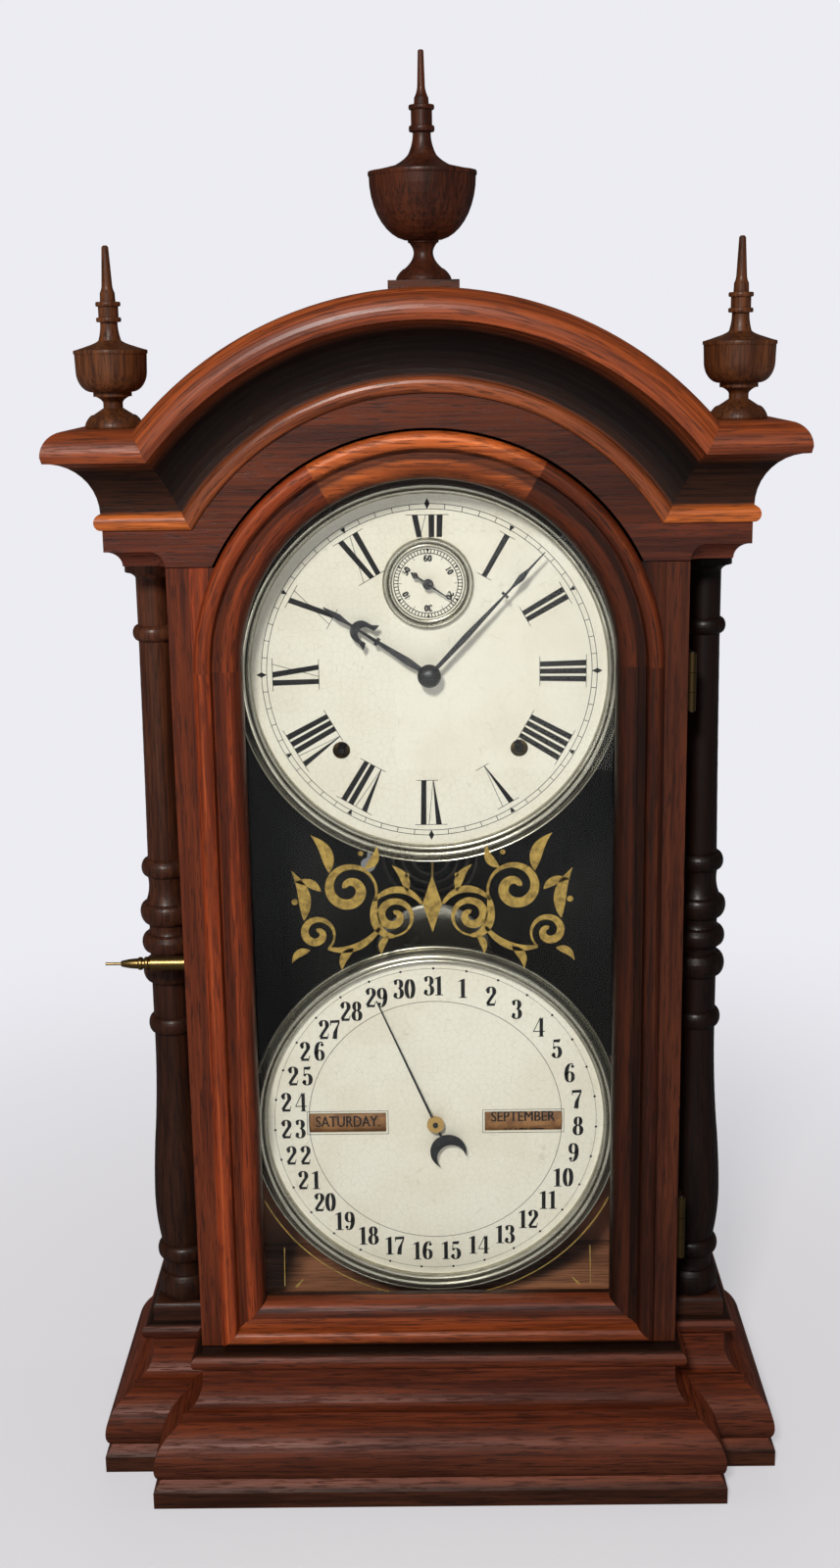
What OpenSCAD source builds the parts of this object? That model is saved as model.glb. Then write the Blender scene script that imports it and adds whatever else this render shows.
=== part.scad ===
// Double dial calendar clock: a shelf case with turned columns, an arched cornice and urn finials.
// Millimetres. The front faces -Y, +Z is up, and the origin is the middle of the underside.

/* [Case] */
// Outside width of the case box behind the door
case_w = 284; // [276:1:292]
// Depth of the whole clock, from the base's bay to the back
depth = 170; // [160:1:182]
// Thickness of the case's side boards
side_t = 9; // [7:0.5:12]
// Thickness of the back board
back_t = 8; // [6:0.5:10]
// Rise from the arch's centre to the underside of the column heads
head_rise = 57.5; // [52:0.5:62]
// Height of the plain strip over the columns
strip_h = 20; // [17:0.5:24]
// Thickness of the strip, frieze and head boards
board_t = 12; // [9:0.5:14]
// How far a column head reaches past the column's centre
head_over = 15; // [14:0.5:18]
// Radius of the scooped lower edge of the strip ends
scoop_r = 8.5; // [6:0.5:10]

/* [Base] */
// How far the bay stands in front of the column plinths
bay_step = 36.5; // [30:0.5:42]
// Width of the ledge showing beside the case on the bay
bay_ledge = 3.9; // [3:0.1:6]
// Width of the ledge showing round a column block
block_ledge = 6.7; // [5:0.1:9]
// Upright face of the plinth board
plinth_face = 10; // [8:0.5:13]
// Height of the plinth board's sloped top
plinth_slope = 6.5; // [4:0.5:8]
// Height of the rounded toe under the belly
toe_h = 7.5; // [5:0.5:9]
// Height of the belly of the ogee moulding
belly_h = 23; // [18:0.5:28]
// How far the belly falls back as it rises
belly_in = 17; // [13:0.5:20]
// Height of the square fillet above the belly
fillet_h = 4.5; // [3:0.5:6]
// Height of the hollow above the fillet
cove_base_h = 17; // [13:0.5:21]
// How far the hollow falls back
cove_base_in = 9.5; // [7:0.5:12]
// Upright neck under the cap
neck_h = 6; // [4:0.5:9]
// Thickness of the cap board with its half-round edge
cap_t = 10.5; // [8:0.5:13]
// How far the cap's half-round edge stands out from the neck
cap_out = 6; // [4:0.5:8]
// Thickness of the base mouldings at the neck
base_wall = 12; // [9:0.5:15]

/* [Columns] */
// How far a column's axis stands in from the middle of its block
column_in = 2.8; // [2:0.1:3.6]
// Width of the square block under a column
block_w = 31.2; // [29:0.2:34]
// Height of the square block
block_h = 11.5; // [9:0.5:14]
// Height of the swollen foot of the column
torus_h = 16.5; // [13:0.5:20]
// Radius of the column's foot
foot_r = 12.9; // [11.6:0.1:14]
// How far the swollen foot stands out
torus_out = 3.4; // [2.4:0.1:4.2]
// Height of the hollow above the foot
foot_neck_h = 8.5; // [6.5:0.5:11]
// Height of the vase part of the column
vase_h = 136; // [115:1:150]
// Greatest radius of the vase
vase_r = 16; // [14.5:0.1:17.2]
// Radius of the shaft
shaft_r = 11.1; // [10:0.1:12.2]
// Radius of the shaft under the capital
shaft_top_r = 8.8; // [7.8:0.1:9.8]
// Height of each of the three middle beads
bead_col_h = 14.5; // [11.5:0.5:16.5]
// How far each middle bead stands out from the shaft
bead_col_out = 4.7; // [3.6:0.1:5.6]
// Height of the narrow rings
ring_h = 10.5; // [8.5:0.5:12.5]
// How far the narrow rings stand out
ring_out = 3.1; // [2.2:0.1:4]
// Plain length between the vase's ring and the first bead
lower_shaft_h = 21; // [16:0.5:27]
// Length of the slope beside a bead
bead_gap = 4; // [3:0.2:6]
// Length of the waist between the beads and the upper ring
waist_h = 16; // [13:0.5:20]
// Plain length between the top ring and the capital
top_neck_h = 26; // [21:0.5:32]
// Height of the capital's hollow
capital_cove_h = 4; // [3:0.5:6]
// Height of the capital's flat disc
abacus_h = 7; // [5.5:0.5:9]
// Radius of the capital's flat disc
abacus_r = 14.6; // [13:0.2:16]

/* [Cornice] */
// Band of frieze showing between the door's arch and the cornice
arch_reveal = 18.1; // [14:0.1:23]
// Height of the bead along the cornice's lower edge
bead_h = 8.7; // [7:0.1:10.5]
// How far the bead stands out
bead_out = 3.4; // [2.4:0.1:4.4]
// Height of the cornice's hollow
cove_h = 28.2; // [24:0.2:32]
// How far the hollow carries the lip forward
cove_out = 24.4; // [20:0.2:28]
// Height of the lip's upright edge
lip_h = 3.4; // [2.4:0.2:4.5]
// Height of the rounded top edge
ovolo_h = 12.7; // [10:0.1:15]
// How far the rounded top edge falls back
ovolo_in = 11.7; // [9:0.1:14]
// Thickness of the top boards
slab_t = 8.6; // [7:0.2:10]

/* [Finials] */
// Distance of the finials behind the frieze's front
finial_back = 20; // [15:0.5:30]
// Distance of each side finial's centre past the column's centre
side_finial_x = 9; // [4:0.5:12]
// Width of the block under the middle finial
finial_block_w = 37.2; // [34:0.2:42]
// Thickness of the block at the crown of the arch
finial_block_h = 4; // [3:0.2:6]
// Radius of the middle urn's foot
urn_foot_r = 14.6; // [12:0.2:17]
// Height of the middle urn's foot and stem
urn_stem_h = 20.3; // [17:0.1:24]
// Radius of the middle urn's stem
urn_stem_r = 5.1; // [4.2:0.1:6]
// Height of the middle urn's bowl
urn_bowl_h = 32.3; // [28:0.1:37]
// Radius of the middle urn's rim
urn_rim_r = 28.4; // [25:0.2:31]
// Height of the middle urn's rim
urn_rim_h = 2.2; // [1.6:0.1:3]
// Height of the middle urn's sloping lid
urn_lid_h = 3; // [2:0.2:4.5]
// Height of the middle urn's neck above the lid
urn_neck_h = 16.4; // [13:0.1:19]
// Height of the ringed drum on the middle urn
urn_drum_h = 13.2; // [10:0.2:16]
// Length of the middle urn's spike
urn_spike_h = 26.7; // [22:0.1:32]
// Radius of the spikes near the tip
spike_r = 1.5; // [1.2:0.1:1.8]
// Radius of a side urn's foot
cup_foot_r = 14.9; // [13:0.1:16.5]
// Height of a side urn's foot and stem
cup_stem_h = 18.8; // [16:0.1:22]
// Radius of a side urn's bowl where it leaves the stem
cup_low_r = 10.2; // [8.5:0.1:12]
// Height of a side urn's bowl
cup_bowl_h = 19.8; // [16:0.1:23]
// Radius of a side urn's rim
cup_rim_r = 19.6; // [17:0.2:22]
// Height of a side urn's rim
cup_rim_h = 2; // [1.4:0.1:2.8]
// Height of a side urn's sloping lid
cup_lid_h = 2.2; // [1.4:0.1:3.4]
// Height of a side urn's neck above the lid
cup_neck_h = 12.2; // [10:0.1:15]
// Height of the ringed drum on a side urn
cup_drum_h = 10.4; // [8.5:0.1:13]
// Length of a side urn's spike
cup_spike_h = 28.6; // [24:0.1:34]

/* [Door] */
// Distance of the door's face behind the base's bay
door_setback = 35; // [31:0.5:40]
// Thickness of the door frame
door_t = 21.5; // [19:0.5:24]
// How far the case stands past the door at each side
door_inset = 1.7; // [1.3:0.1:2.5]
// Width of the flat margin outside the door's moulding
door_margin = 12.8; // [10:0.2:15]
// Width of the door's moulding from flat to sight edge
mould_w = 25.5; // [22:0.5:28]
// Width of the raised ridge
ridge_w = 9.7; // [8:0.1:11.5]
// Height of the raised ridge
ridge_h = 4; // [3:0.2:5]
// Width of the groove inside the ridge
groove_w = 4.5; // [3.5:0.1:5.5]
// Depth of the groove
groove_d = 2.6; // [1.6:0.2:3.6]
// Depth of the sight edge below the door's face
sight_d = 8; // [6:0.5:10]
// Depth of the glass below the door's face
glass_d = 12; // [10.5:0.5:14]
// Thickness of the glass
glass_t = 2; // [1.5:0.1:3]
// Width of the rebate that holds the glass
rebate_w = 4.5; // [3.5:0.1:6]
// Half angle of the middle piece of the arched head
keystone_a = 30; // [22:1:38]
// Length of the upper hinge
hinge_up_l = 32; // [26:1:38]
// Height of the upper hinge's middle above the shelf
hinge_up_z = 482; // [460:1:490]
// Length of the lower hinge
hinge_low_l = 38; // [30:1:44]
// Height of the lower hinge's middle above the shelf
hinge_low_z = 159; // [135:1:190]
// Radius of the hinge knuckles
knuckle_r = 2.2; // [2:0.1:2.6]
// Radius of the hinge pins
hinge_pin_r = 1; // [0.8:0.05:1.2]
// How far a hinge leaf reaches along the case side
leaf_w = 11.5; // [9:0.5:12]
// Thickness of the hinge leaves
leaf_t = 1.1; // [0.9:0.1:1.2]
// Height of the door pull above the shelf
pull_z = 322.4; // [300:0.2:345]
// Depth of the pull's axis behind the door's face
pull_back = 8; // [7:0.5:11]
// Radius of the pull's barrel
pull_r = 4; // [3:0.1:5]
// Length of the pull's barrel
pull_l = 19.5; // [16:0.5:24]
// Length of the pull's grooved nose
pull_nose_l = 17; // [13:0.5:21]
// Length of the pin at the tip of the pull
pull_pin_l = 9; // [6:0.5:12]
// Radius of the pull's spindle in the door
spindle_r = 2.5; // [2:0.1:2.8]

/* [Dials] */
// Distance of the dials behind the door's face
dial_setback = 37; // [35:0.5:42]
// Distance of the time dial's centre below the arch's centre
dial_drop = 7.9; // [4:0.1:12]
// Distance between the centres of the two dials
dial_pitch = 271.2; // [262:0.2:285]
// Gap between the calendar's bezel and the top of the base
dial_rise = 16.1; // [12:0.1:22]
// Outside radius of the nickel bezels
bezel_r = 110.3; // [107:0.1:113]
// Width of the bezels
bezel_w = 10.3; // [9:0.1:12]
// Height of the bezels in front of the dial
bezel_h = 6.2; // [5:0.1:8]
// Width of the roll at a bezel's inner edge
bezel_roll = 3.3; // [2.5:0.1:4]
// Width of the lip at a bezel's outer edge
bezel_lip = 1.4; // [1:0.1:2]
// Thickness of the dials
dial_t = 1; // [0.8:0.1:1.6]
// Radius of the holes for the winding key
key_hole_r = 5; // [4:0.1:6]
// Distance of the winding arbors from the middle
wind_x = 50.5; // [44:0.5:56]
// Distance of the winding arbors below the dial's centre
wind_drop = 44; // [38:0.5:50]
// Distance of the seconds dial above the time dial's centre
seconds_rise = 50.4; // [46:0.2:55]
// Outside radius of the seconds ring
seconds_ring_r = 25.5; // [23:0.1:27]
// Width of the seconds ring
seconds_ring_w = 5.4; // [4:0.1:6]
// Height of the seconds ring
seconds_ring_h = 3.2; // [2:0.1:3.8]
// Width of each calendar window
window_w = 46; // [40:0.5:50]
// Height of each calendar window
window_h = 12.4; // [10:0.1:14]
// Distance from the middle to the inner end of a calendar window
window_x = 29.4; // [26:0.2:32]

/* [Hands] */
// Hour shown at rest
show_hour = 10; // [0:1:11]
// Minute shown at rest
show_minute = 7.25; // [0:0.25:59.75]
// Second shown at rest
show_second = 20.8; // [0:0.2:59.8]
// Day of the month shown at rest
show_date = 29; // [1:1:31]
// Length of the minute hand
minute_l = 93.5; // [86:0.5:95]
// Length of the hour hand
hour_l = 70; // [64:0.5:76]
// Length of the seconds hand
seconds_l = 19; // [15:0.2:19.6]
// Length of the seconds hand's spade tail
seconds_tail = 11.7; // [9:0.1:14]
// Radius of the seconds hand's eye
seconds_eye_r = 3; // [2.2:0.1:3.6]
// Length of the date hand
date_l = 85; // [76:0.5:92]
// Thickness of the hands
hand_t = 1; // [0.7:0.1:1.4]
// Radius of the domed boss on the hands
boss_r = 6.6; // [5:0.1:8]
// Radius of the date hand's brass hub
date_hub_r = 5; // [4:0.1:6.5]
// Radius of the crescent on the date hand's tail
crescent_r = 10.8; // [9:0.2:12.5]
// Distance from the hub's centre to the crescent's centre
crescent_back = 19; // [17:0.5:22]

/* [Movement] */
// Radius of the hour hand's wheel
hour_wheel_r = 13; // [11:0.5:15]
// Length of the verge's crutch
crutch_l = 44; // [38:1:50]
// Width of the movement plates
plate_w = 132; // [126:1:140]
// Height of the movement plates
plate_h = 152; // [148:1:160]
// Thickness of the movement plates
plate_t = 2; // [1.5:0.1:2.6]
// Distance from the dial to the front plate
plate_back = 18; // [16:0.5:22]
// Space between the plates
plate_gap = 28; // [25:0.5:32]
// Distance of the plates' foot below the time dial's centre
plate_drop = 68; // [64:0.5:72]
// Radius of the centre arbor
centre_r = 2; // [1.6:0.1:2.4]
// Wall of the hour hand's pipe
pipe_w = 1.3; // [1:0.1:1.7]
// Radius of the escape wheel
escape_r = 15; // [13:0.5:16]
// Number of teeth on the escape wheel
escape_n = 30; // [24:1:36]
// Radius of the escape and verge arbors
pivot_r = 1; // [0.8:0.05:1.3]
// Distance of the pendulum's pivot above the seconds dial
pivot_rise = 24; // [22:0.5:27]
// Length of the pendulum from pivot to bob centre
pendulum_l = 265; // [255:1:272]
// Distance of the pendulum behind the back plate
pendulum_back = 10; // [8.5:0.5:12]
// Radius of the pendulum bob
bob_r = 37; // [33:0.5:40]
// Thickness of the pendulum bob
bob_t = 9; // [7:0.5:11]
// Radius of the pendulum rod
rod_r = 1.1; // [0.9:0.1:1.5]
// Radius of the winding arbors
wind_r = 2.6; // [2.2:0.1:3]
// Outside radius of the mainsprings
spring_r = 22; // [18:0.5:25]
// Outside radius of the coil gong
gong_r = 33; // [29:0.5:37]
// Radius at which the gong's coil begins
gong_in_r = 9; // [8:0.5:11]
// Number of turns in the gong
gong_turns = 4; // [3:1:5]
// Width of the gong's ribbon across the turns
gong_w = 1.6; // [1.2:0.1:2]
// Depth of the gong's ribbon
gong_d = 4; // [3:0.2:5]
// Height of the gong's centre above the shelf
gong_z = 355; // [345:0.5:365]
// Radius of the hammer's head
hammer_r = 4.5; // [3.5:0.1:5.5]

/* [Calendar work] */
// Radius of the day roller
day_r = 14; // [12:0.2:15]
// Radius of the month roller
month_r = 21; // [19:0.2:22]
// Radius of the date wheel
date_wheel_r = 19; // [16:0.5:21]
// Number of teeth on the date wheel
date_n = 31; // [31:1:31]
// Radius of the calendar arbors
cal_r = 1.5; // [1.2:0.1:1.9]
// Height of the calendar's back plate
cal_plate_h = 64; // [56:1:74]
// Thickness of the calendar's back plate and brackets
cal_t = 2; // [1.6:0.1:2.6]
// Thickness of the wooden cleats behind the dials
cleat_t = 12; // [10:0.5:16]
// Height of the wooden cleats behind the dials
cleat_h = 70; // [50:1:80]
// Least length of the wooden cleats, from the case side inward
cleat_l = 30.7; // [27:0.1:36]
// Least reach of a cleat in behind a dial's edge
cleat_lap = 8; // [5:0.5:10]

/* [Fits] */
// Gap between the door and the case front, and under the door
door_gap = 0.5; // [0.4:0.1:1]
// Gap between the door's arch and the frieze
arch_gap = 1.5; // [1.3:0.1:2]
// Gap between a column block and the case side
column_gap = 0.4; // [0.2:0.1:1]
// Radial clearance of turning fits
run_fit = 0.05; // [0.03:0.01:0.08]
// Gap between moving pieces that pass each other
pass_gap = 0.6; // [0.4:0.1:1]
// Gap round the glass in its rebate
glass_gap = 0.4; // [0.2:0.1:0.8]

/* [Hidden] */
case_x = case_w / 2;
y_back = depth / 2;
y_bay = -depth / 2;
y_side = y_bay + bay_step;
y_face = y_bay + door_setback;
y_case = y_face + door_t + door_gap;
y_board = y_face + board_t;
y_inner = y_back - back_t;
y_dial = y_face + dial_setback;
cap_in = belly_in + cove_base_in + 1.6 - cap_out;
neck_in = cap_in + cap_out;
col_x = case_x + column_gap + block_w / 2;
col_y = y_side + cap_in + block_ledge + block_w / 2;
base_x = col_x + block_w / 2 + block_ledge + cap_in;
bay_x = case_x + bay_ledge + cap_in;
head_x = col_x + head_over;
z_plinth = plinth_face + plinth_slope;
z_cap = z_plinth + toe_h + belly_h + fillet_h + cove_base_h + neck_h;
base_h = z_cap + cap_t;
z_cal = base_h + dial_rise + bezel_r;
z_time = z_cal + dial_pitch;
arch_z = z_time + dial_drop;
z_head = arch_z + head_rise;
z_strip = z_head + strip_h;
corn_h = bead_h + cove_h + lip_h + ovolo_h;
z_top = z_strip + corn_h;
z_slab = z_top - slab_t;
corn_out = 0.5 + cove_out + 0.8;
door_x = case_x - door_inset;
sight_x = door_x - door_margin - mould_w;
door_r = sight_x + mould_w;
cut_r = door_r + arch_gap;
arch_r0 = cut_r + arch_reveal;
arch_k = arch_r0 - (z_strip - arch_z);
arch_top_r = z_top - arch_z + arch_k;
slab_r = z_slab - arch_z + arch_k;
door_z = base_h + door_gap;
sight_z = door_z + mould_w;
shoulder_z = z_head - door_gap;
y_glass = y_face + glass_d;
hinge_x = door_x + knuckle_r + 0.1;
hinge_y = y_face + 0.5;
dial_r = bezel_r - 3;
z_sec = z_time + seconds_rise;
z_wind = z_time - wind_drop;
z_win = z_cal - 0.7;
y_p1 = y_dial + plate_back;
y_p2 = y_p1 + plate_t + plate_gap;
y_pend = y_p2 + plate_t + pendulum_back;
z_pivot = z_sec + pivot_rise;
z_bob = z_pivot - pendulum_l;
finial_y = y_face + finial_back;
y_hour = y_dial - 7;
y_min = y_hour - hand_t - pass_gap - 1.4;
hour_a = 30 * show_hour + show_minute / 2;
minute_a = 6 * show_minute;
second_a = 6 * show_second;
date_a = 360 * show_date / 31;
day_y = y_dial + dial_t + pass_gap + day_r;
month_y = y_dial + dial_t + pass_gap + month_r;
roller_x = window_x + window_w / 2;
roller_l = window_w + 4;
y_cal_plate = month_y + month_r + 2;
mirror_l = [1, 0, 0];
reach = 60;
mitre_over = 9;

$fn = 64;

// Extrudes an outline drawn in X and Z from y0 to y1.
module along_y(y0, y1) {
    translate([0, y1, 0]) rotate([90, 0, 0]) linear_extrude(y1 - y0) children();
}

// Extrudes an outline drawn in Y and Z from x0 to x1.
module along_x(x0, x1) {
    translate([x0, 0, 0]) rotate([90, 0, 90]) linear_extrude(x1 - x0) children();
}

// A round bar along Y.
module rod_y(r, y0, y1, fn = 40) {
    translate([0, y1, 0]) rotate([90, 0, 0]) cylinder(r = r, h = y1 - y0, $fn = fn);
}

// A round bar along X.
module rod_x(r, x0, x1, fn = 40) {
    translate([x0, 0, 0]) rotate([0, 90, 0]) cylinder(r = r, h = x1 - x0, $fn = fn);
}

// A box between two corners.
module block(a, b) {
    translate(a) cube(b - a);
}

// Turned stages, each [height, lower radius, upper radius, bulge]; a bulge below zero is a hollow.
// A short bulge is half round, hollows and long bulges are slow. A fifth value of 1 makes a round bowl.
function ramp(s, t) = s[1] + (s[2] - s[1]) * t;
function stage(s, z) =
    s[4] == 1 ? [for (a = [0 : 9 : 90]) [ramp(s, sin(a)), z + s[0] * (1 - cos(a))]] :
    s[3] == 0 ? [[s[1], z], [s[2], z + s[0]]] :
    s[3] < 0 || s[0] > 7 * s[3] ?
        [for (t = [0 : 0.1 : 1.01]) [ramp(s, t) + 4 * s[3] * t * (1 - t), z + s[0] * t]] :
    [for (i = [0 : 10]) let (t = (1 - cos(18 * i)) / 2) [ramp(s, t) + s[3] * sin(18 * i), z + s[0] * t]];
function stages(list, z, i = 0) = i == len(list) ? [[0, z]] :
    concat(stage(list[i], z), stages(list, z + list[i][0], i + 1));
module turned(list) {
    rotate_extrude() polygon(concat([[0, 0]], stages(list, 0)));
}

// A block whose front and both sides carry the profile, given as [distance in, height].
module moulded(half, y_front, pts) {
    n = len(pts) - 1;
    right = [for (p = pts) [half - p[0], p[1]]];
    left = [for (i = [n : -1 : 0]) [pts[i][0] - half, pts[i][1]]];
    front = [for (p = pts) [y_front + p[0], p[1]]];
    intersection() {
        along_y(y_front - reach, y_back) polygon(concat(right, left));
        along_x(-half - reach, half + reach)
            polygon(concat(front, [[y_back, pts[n][1]], [y_back, pts[0][1]]]));
    }
}

// The profiles of the base, from the shelf up.
plinth_pts = [[0, 0], [0, plinth_face], [4, z_plinth]];
toe_pts = [for (t = [0 : 18 : 90]) [5 - 4.4 * sin(t), z_plinth + toe_h * (1 - cos(t))]];
belly_pts = [for (t = [6 : 6 : 66]) [0.6 + (belly_in - 0.6) * (1 - cos(t)) / (1 - cos(66)),
    z_plinth + toe_h + belly_h * sin(t) / sin(66)]];
z_fillet = z_plinth + toe_h + belly_h;
hollow_pts = [for (t = [0 : 10 : 90]) [belly_in + 1.6 + cove_base_in * sin(t),
    z_fillet + fillet_h + cove_base_h * (1 - cos(t))]];
ogee_pts = concat(toe_pts, belly_pts, [[belly_in, z_fillet + fillet_h]], hollow_pts, [[neck_in, z_cap]]);
cap_pts = [for (t = [0 : 15 : 180]) [neck_in - cap_out * sin(t), z_cap + cap_t * (1 - cos(t)) / 2]];

module base_hollow() {
    block([-base_x + neck_in + base_wall, y_side + neck_in + base_wall, z_plinth - 1],
        [base_x - neck_in - base_wall, y_inner, z_cap + 1]);
    block([-bay_x + neck_in + base_wall, y_bay + neck_in + base_wall, z_plinth - 1],
        [bay_x - neck_in - base_wall, y_inner, z_cap + 1]);
}

module base_plinth() color("SaddleBrown") union() {
    moulded(bay_x, y_bay, plinth_pts);
    moulded(base_x, y_side, plinth_pts);
}

module base_bay_moulding() color("Sienna") difference() {
    moulded(bay_x, y_bay, ogee_pts);
    base_hollow();
}

module base_side() difference() {
    moulded(base_x, y_side, ogee_pts);
    moulded(bay_x, y_bay, ogee_pts);
    base_hollow();
    block([-bay_x + neck_in, y_bay, z_plinth - 1], [base_x + 1, y_back + 1, z_cap + 1]);
}
module base_left_moulding() color("Sienna") base_side();
module base_right_moulding() color("Sienna") mirror(mirror_l) base_side();

module base_cap() color("Peru") union() {
    moulded(bay_x, y_bay, cap_pts);
    moulded(base_x, y_side, cap_pts);
}

// A column block has a rounded top edge all round.
block_edge = [for (t = [0 : 15 : 90]) [3.5 * (1 - cos(t)), base_h + block_h - 3.5 + 3.5 * sin(t)]];
module column_block() {
    h = block_w / 2;
    side = concat([[0, base_h]], block_edge);
    n = len(side) - 1;
    right = [for (p = side) [h - p[0], p[1]]];
    left = [for (i = [n : -1 : 0]) [side[i][0] - h, side[i][1]]];
    outline = concat(right, left);
    intersection() {
        along_y(-h, h) polygon(outline);
        along_x(-h, h) polygon(outline);
    }
}
module column_blocks() color("SaddleBrown") {
    for (s = [-1, 1]) translate([s * col_x, col_y, 0]) column_block();
}

// The upper shaft takes what the other stages leave of the column's height.
column_h = z_head - base_h - block_h;
low_stages = [
    [torus_h, foot_r, foot_r, torus_out],
    [foot_neck_h, foot_r - 0.3, foot_r - 0.3, -0.5],
    [ring_h, foot_r - 0.2, foot_r - 0.2, ring_out],
    [vase_h * 0.23, foot_r + 0.1, vase_r, 0.8],
    [vase_h * 0.3, vase_r, (vase_r + shaft_r) / 2 + 0.2, 0.4],
    [vase_h * 0.47, (vase_r + shaft_r) / 2 + 0.2, shaft_r, -0.7],
    [ring_h, shaft_r, shaft_r, ring_out - 0.1],
    [lower_shaft_h, shaft_r, shaft_r, 0],
    [bead_col_h, shaft_r, shaft_r, bead_col_out],
    [bead_gap, shaft_r, shaft_r + 0.7, -0.3],
    [bead_col_h - 3, shaft_r + 0.7, shaft_r + 0.7, bead_col_out - 0.9],
    [bead_gap, shaft_r + 0.7, shaft_r, -0.3],
    [bead_gap * 0.4, shaft_r, shaft_r, 0],
    [bead_col_h - 1.5, shaft_r + 0.2, shaft_r + 1.3, bead_col_out - 0.8],
    [waist_h, shaft_r + 1.3, shaft_r - 0.4, -1.3],
    [ring_h, shaft_r - 0.4, shaft_r - 0.9, ring_out + 0.4]];
high_stages = [
    [ring_h - 1.5, shaft_top_r, shaft_top_r, ring_out],
    [top_neck_h, shaft_top_r, shaft_top_r, 0],
    [capital_cove_h, shaft_top_r, abacus_r - 1.2, -1.2],
    [abacus_h, abacus_r, abacus_r, 0]];
function heights(list, i = 0) = i == len(list) ? 0 : list[i][0] + heights(list, i + 1);
long_shaft_h = column_h - heights(low_stages) - heights(high_stages);
// Each column is planed flat where it lies along the case.
module column() difference() {
    translate([col_x - column_in, col_y, base_h + block_h])
        turned(concat(low_stages, [[long_shaft_h, shaft_r - 1, shaft_top_r, -0.15]], high_stages));
    block([case_x - reach, col_y - reach, base_h], [case_x + column_gap, col_y + reach, z_head + 1]);
}
module column_left() color("Maroon") mirror(mirror_l) column();
module column_right() color("Maroon") column();

module case_side() union() {
    block([case_x - side_t, y_case, base_h], [case_x, y_inner, z_head]);
    block([case_x - side_t, y_board, z_head], [case_x, y_inner, z_slab]);
}
module case_side_left() color("SaddleBrown") mirror(mirror_l) case_side();
module case_side_right() color("SaddleBrown") case_side();

module case_back() color("DarkSlateGray") along_y(y_inner, y_back) union() {
    translate([-case_x, base_h]) square([case_w, z_head - base_h]);
    translate([-head_x, z_head]) square([2 * head_x, z_slab - z_head]);
    intersection() {
        translate([0, arch_z]) circle(r = slab_r, $fn = 120);
        translate([-head_x, z_head]) square([2 * head_x, slab_r]);
    }
}

// The scooped edge under a column head, along its front and its outer side.
module scoop() {
    translate([0, y_face, z_head]) rod_x(scoop_r, case_x + 7, head_x + 1);
    translate([case_x + 7, y_face, z_head]) sphere(r = scoop_r, $fn = 40);
    translate([head_x, 0, z_head]) rod_y(scoop_r, y_face - 1, y_inner + 1);
}

module head() difference() {
    union() {
        block([head_x - board_t, y_board, z_head], [head_x, y_inner, z_slab]);
        block([case_x, y_board, z_head], [head_x - board_t, y_inner, z_head + board_t]);
    }
    scoop();
}
module head_left() color("SaddleBrown") mirror(mirror_l) head();
module head_right() color("SaddleBrown") head();

module strip() difference() {
    along_y(y_face, y_board) difference() {
        translate([0, z_head]) square([head_x, strip_h]);
        translate([0, arch_z]) circle(r = cut_r, $fn = 120);
    }
    scoop();
}
module strip_left() color("Sienna") mirror(mirror_l) strip();
module strip_right() color("Sienna") strip();

module frieze() color("SaddleBrown") along_y(y_face, y_board) difference() {
    union() {
        translate([-head_x, z_strip]) square([2 * head_x, z_slab - z_strip]);
        intersection() {
            translate([0, arch_z]) circle(r = slab_r, $fn = 120);
            translate([-head_x, z_strip]) square([2 * head_x, slab_r]);
        }
    }
    translate([0, arch_z]) circle(r = cut_r, $fn = 120);
}

// The cornice profile, given as [distance out from the frieze, height above the strip].
corn_pts = concat(
    [for (t = [0 : 20 : 180]) [0.5 + bead_out * sin(t), bead_h * (1 - cos(t)) / 2]],
    [for (t = [9 : 9 : 90]) [0.5 + cove_out * (1 - cos(t)), bead_h + cove_h * sin(t)]],
    [for (t = [0 : 9 : 90]) [corn_out - ovolo_in * (1 - cos(t)), bead_h + cove_h + lip_h + ovolo_h * sin(t)]]);

// Half width of the curved mitre at a height.
function mitre_x(z) = sqrt(arch_k * arch_k + 2 * arch_k * (z - arch_z));

// The space over the curved mitre where the arched length takes over from the straight ones.
module arch_side() {
    right = [for (z = [z_strip - mitre_over : 3 : z_top + mitre_over]) [mitre_x(z), z]];
    left = [for (i = [len(right) - 1 : -1 : 0]) [-right[i][0], right[i][1]]];
    x_over = mitre_x(z_top + mitre_over);
    z_over = arch_z + 2 * arch_top_r;
    along_y(y_face - corn_out - 5, y_back + 1)
        polygon(concat(left, right, [[x_over, z_over], [-x_over, z_over]]));
}

module cornice_straight() difference() {
    moulded(head_x, y_face, [for (p = corn_pts) [-p[0], z_strip + p[1]]]);
    block([-head_x - reach, y_face - reach, 0], [0, y_back + 1, z_top + 1]);
    block([0, y_face, z_strip - 1], [head_x, y_back + 1, z_slab]);
    arch_side();
}
module cornice_left() color("Peru") mirror(mirror_l) cornice_straight();
module cornice_right() color("Peru") cornice_straight();

module cornice_arch() color("Peru") intersection() {
    translate([0, y_face, arch_z]) rotate([90, 0, 0]) rotate_extrude($fn = 120)
        polygon(concat([[arch_r0, 0]], [for (p = corn_pts) [arch_r0 + p[1], p[0]]],
            [[arch_top_r, y_face - y_back], [slab_r, y_face - y_back], [slab_r, 0]]));
    arch_side();
}

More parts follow.
